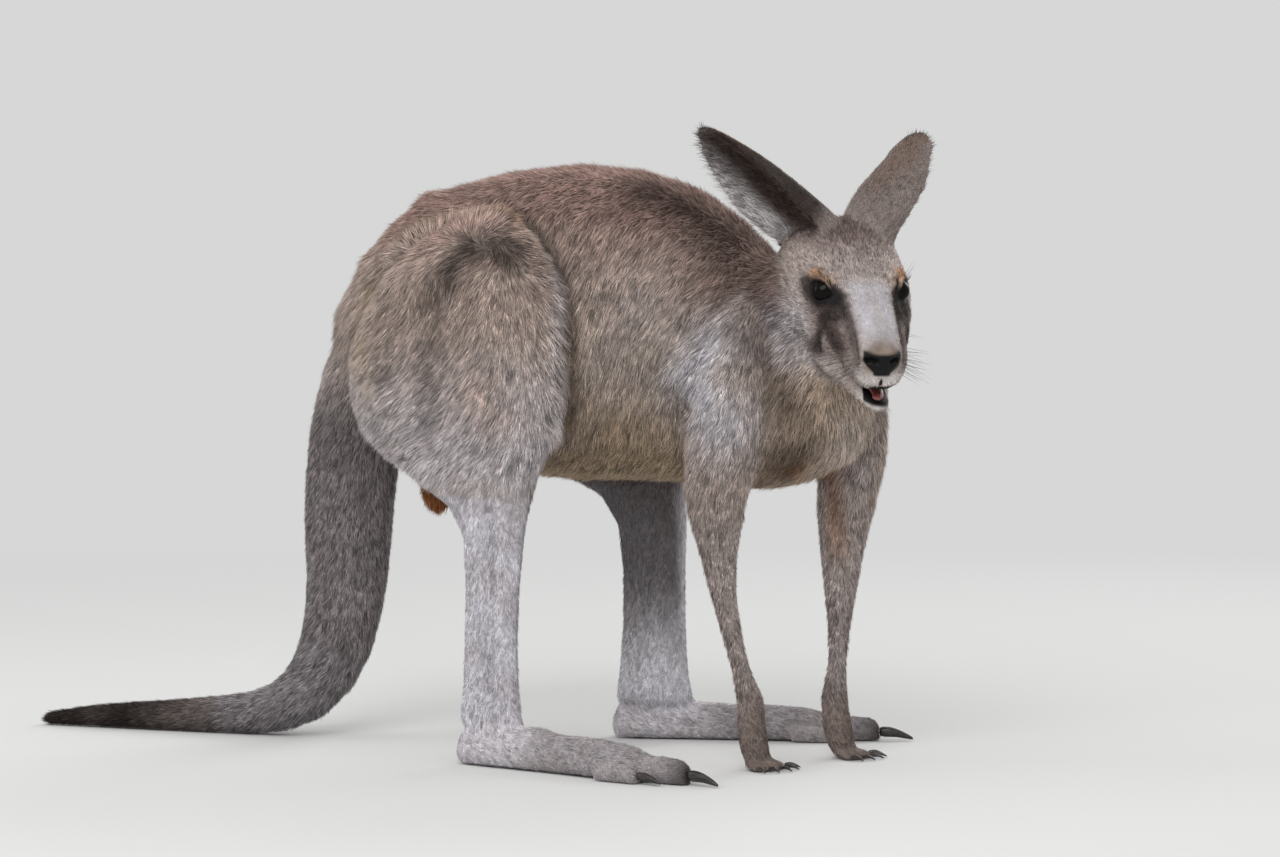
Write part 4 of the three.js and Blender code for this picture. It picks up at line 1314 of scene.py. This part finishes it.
def hairs(name, paths, radius):
    """Hairs of this radius along these paths, as one piece."""
    places, faces, start = [], [], 0
    for path in paths:
        spots, sides = tapered(path, radius * MM)
        places.append(spots)
        faces.append(sides + start)
        start += len(spots)
    made = new_object(name, mesh_from(name, np.concatenate(places), np.concatenate(faces)))
    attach(made, "root")
    return made


def bent(root, way, droop, length, points=7):
    """A path from a root that sets out one way and bends another."""
    share = np.linspace(0, 1, points)[:, None]
    return np.asarray(root) + length * (np.asarray(way) * share + np.asarray(droop) * share**2)


def make_whiskers(tree):
    """Whiskers from the pads, the chin and the cheeks, then the bristles over the eyes."""
    rng = np.random.default_rng(7)
    paths = []
    for side in (1, -1):
        for row in range(4):
            for k in range(5):
                start = mirrored((-14 - 6 * k, 26, -14 - 4.5 * row + 1.5 * k), side)
                way = unit(mirrored((0.25 - 0.12 * k, 0.9, -0.15 - 0.1 * row), side) + rng.normal(0, 0.08, 3))
                paths.append((start, way, mirrored((-0.35, 0.0, -0.12), side), rng.uniform(26, 44)))
        for k in range(4):
            start = mirrored((-14 - 8 * k, 8 + 3 * k, -63), side)
            way = unit(mirrored((0.5, 0.5, -0.75), side) + rng.normal(0, 0.1, 3))
            paths.append((start, way, (-0.3, 0, -0.1), rng.uniform(14, 24)))
        for k in range(4):
            start = mirrored((-112 + 5 * k, 42, 47), side)
            way = unit(mirrored((0.35, 0.55, 0.7), side) + rng.normal(0, 0.12, 3))
            paths.append((start, way, (-0.5, 0, 0.1), rng.uniform(16, 28)))
        for k in range(2):
            start = mirrored((-100 - 8 * k, 50, -18), side)
            way = unit(mirrored((0.1, 1, -0.2), side))
            paths.append((start, way, (-0.3, 0, -0.15), rng.uniform(20, 28)))
    made = []
    for start, way, droop, length in paths:
        start = from_head(start)
        way, droop = np.asarray(way) @ HEAD_AXES.T, np.asarray(droop) @ HEAD_AXES.T
        spot = tree.find_nearest(start)[0]
        made.append(bent(np.array(spot) - way * 1.5 * MM, way, droop, length * MM))
    return hairs("whiskers", made, WHISKER_RADIUS)


def make_lashes():
    """The lashes of the upper lids."""
    rng = np.random.default_rng(11)
    made = []
    for side in (1, -1):
        middle, out, ahead, up = eye_frame(side)
        for k in range(LASHES):
            turn = math.radians(20 + 140 * k / (LASHES - 1))
            u, v = EYE_OPENING[0] * 1.04 * math.cos(turn), EYE_OPENING[1] * 1.1 * math.sin(turn)
            w = math.sqrt(max(1 - u * u - v * v, 0.05))
            way = unit(out * w + ahead * u + up * v)
            root = middle + way * (EYE_RADIUS + 0.8)
            away = unit(out * 0.8 + up * (0.45 + 0.2 * v) + ahead * u * 0.5 + rng.normal(0, 0.08, 3))
            path = bent(root, away, up * 0.4 + ahead * 0.1, rng.uniform(8, 11), 5)
            made.append(from_head(path))
    return hairs("lashes", made, LASH_RADIUS)


def hair_material():
    made, tree, shader, place = new_material("dark hair")
    grain = tree.noise(place, 300.0, 2.0)
    colour = tree.mixed(srgb(22, 17, 15), srgb(60, 46, 38), grain)
    finished(tree, shader, colour, tree.ranged(grain, 0.3, 0.7, 0.4, 0.6), grain, 0.2, 0.2 * MM)
    return made


# ---------- making it all ----------
skin = make_skin()
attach(skin, "root")
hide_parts(*SKIN_NODES)
coats = make_coats(skin)
dressed(skin, skin_material())
COAT = coat_material()
for piece in coats:
    dressed(piece, COAT)
    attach(piece, "root")
EYE = eye_material()
for name in SIDES:
    dressed(make_eye(name), EYE)
CLAW = claw_material()
for name in SIDES:
    for part, short in (("toe", "foot"), ("finger", "hand")):
        nodes = sorted(n for n in NODES if n.startswith("claw_") and part in n and n.endswith(name))
        claws = dressed(rounded(nodes, "claws_" + short + "_" + name), CLAW)
tongue = dressed(rounded(["tongue"], "tongue_soft"), tongue_material())
HAIR = hair_material()
skin_places = [v.co for v in skin.data.vertices]
skin_tree = BVHTree.FromPolygons(skin_places, [p.vertices for p in skin.data.polygons])
whiskers = dressed(make_whiskers(skin_tree), HAIR)
lashes = dressed(make_lashes(), HAIR)

# ---------- camera, floor and light ----------


def set_camera():
    """A long lens, a little ahead of square to the right side and looking slightly down."""
    lens = bpy.data.cameras.new("camera")
    lens.lens = 101.25
    lens.sensor_width = 36
    camera = new_object("camera", lens)
    camera.location = (2.0381, -3.4833, 0.5085)
    camera.rotation_euler = (math.radians(90 - 2.203), 0, math.radians(28))
    bpy.context.scene.camera = camera


BACKGROUND = srgb(214, 215, 214)


def seen_directly(tree):
    """1 for the rays that see the background itself, by eye, in gloss or through glass."""
    rays = tree.node("ShaderNodeLightPath").outputs
    seen = tree.maths("MAXIMUM", rays["Is Camera Ray"], rays["Is Glossy Ray"])
    return tree.maths("MAXIMUM", seen, rays["Is Transmission Ray"])


def set_floor():
    """A pale floor that keeps the shadow and fades into the background further out."""
    bpy.ops.object.select_all(action="DESELECT")
    bpy.ops.mesh.primitive_circle_add(vertices=96, radius=40, fill_type="NGON")
    floor = bpy.context.object
    floor.name = "floor"
    made, tree, shader, place = new_material("floor")
    cloud = tree.noise(place, 1.5, 3.0)
    colour = tree.mixed(srgb(209, 209, 208), srgb(213, 213, 212), cloud)
    finished(tree, shader, colour, tree.ranged(cloud, 0.3, 0.7, 0.8, 0.9))
    shader.inputs["Specular IOR Level"].default_value = 0.1
    far = tree.node("ShaderNodeVectorMath", {0: place}, operation="LENGTH").outputs["Value"]
    seen = tree.maths("MULTIPLY", seen_directly(tree), tree.ranged(far, 0.9, 3.2))
    pale = tree.node("ShaderNodeEmission", {"Color": BACKGROUND, "Strength": 1.0}).outputs[0]
    mix = tree.node("ShaderNodeMixShader", {0: seen, 1: shader.outputs[0], 2: pale})
    tree.feed(made.node_tree.nodes["Material Output"].inputs["Surface"], mix.outputs[0])
    dressed(floor, made)


def set_light(name, place, target, size, watts):
    """A round soft lamp at a place, turned towards its target."""
    lamp = bpy.data.lights.new(name, "AREA")
    lamp.shape = "DISK"
    lamp.size = size
    lamp.energy = watts
    item = new_object(name, lamp)
    item.location = place
    way = np.array(target) - np.array(place)
    yaw = math.atan2(-way[0], way[1])
    pitch = math.atan2(way[2], math.hypot(way[0], way[1]))
    item.rotation_euler = (math.pi / 2 + pitch, 0, yaw)


def set_world():
    """Even light from all round, and the plain background where it is seen directly."""
    world = bpy.data.worlds.new("studio")
    bpy.context.scene.world = world
    world.use_nodes = True
    tree = Tree(world.node_tree)
    soft = tree.node("ShaderNodeBackground", {"Color": (1, 1, 1, 1), "Strength": 0.72}).outputs[0]
    pale = tree.node("ShaderNodeBackground", {"Color": BACKGROUND, "Strength": 1.0}).outputs[0]
    mix = tree.node("ShaderNodeMixShader", {0: seen_directly(tree), 1: soft, 2: pale})
    tree.feed(world.node_tree.nodes["World Output"].inputs["Surface"], mix.outputs[0])


set_camera()
set_floor()
MIDDLE = (0, 0, 0.3)  # of the animal
set_light("key", (0.9, -3.2, 2.6), MIDDLE, 2.8, 92)
set_light("fill", (-3.0, -1.4, 1.6), MIDDLE, 2.4, 22)
set_light("back", (0.6, 3.2, 2.4), MIDDLE, 2.4, 42)
set_world()
bpy.context.scene.view_settings.view_transform = "Standard"
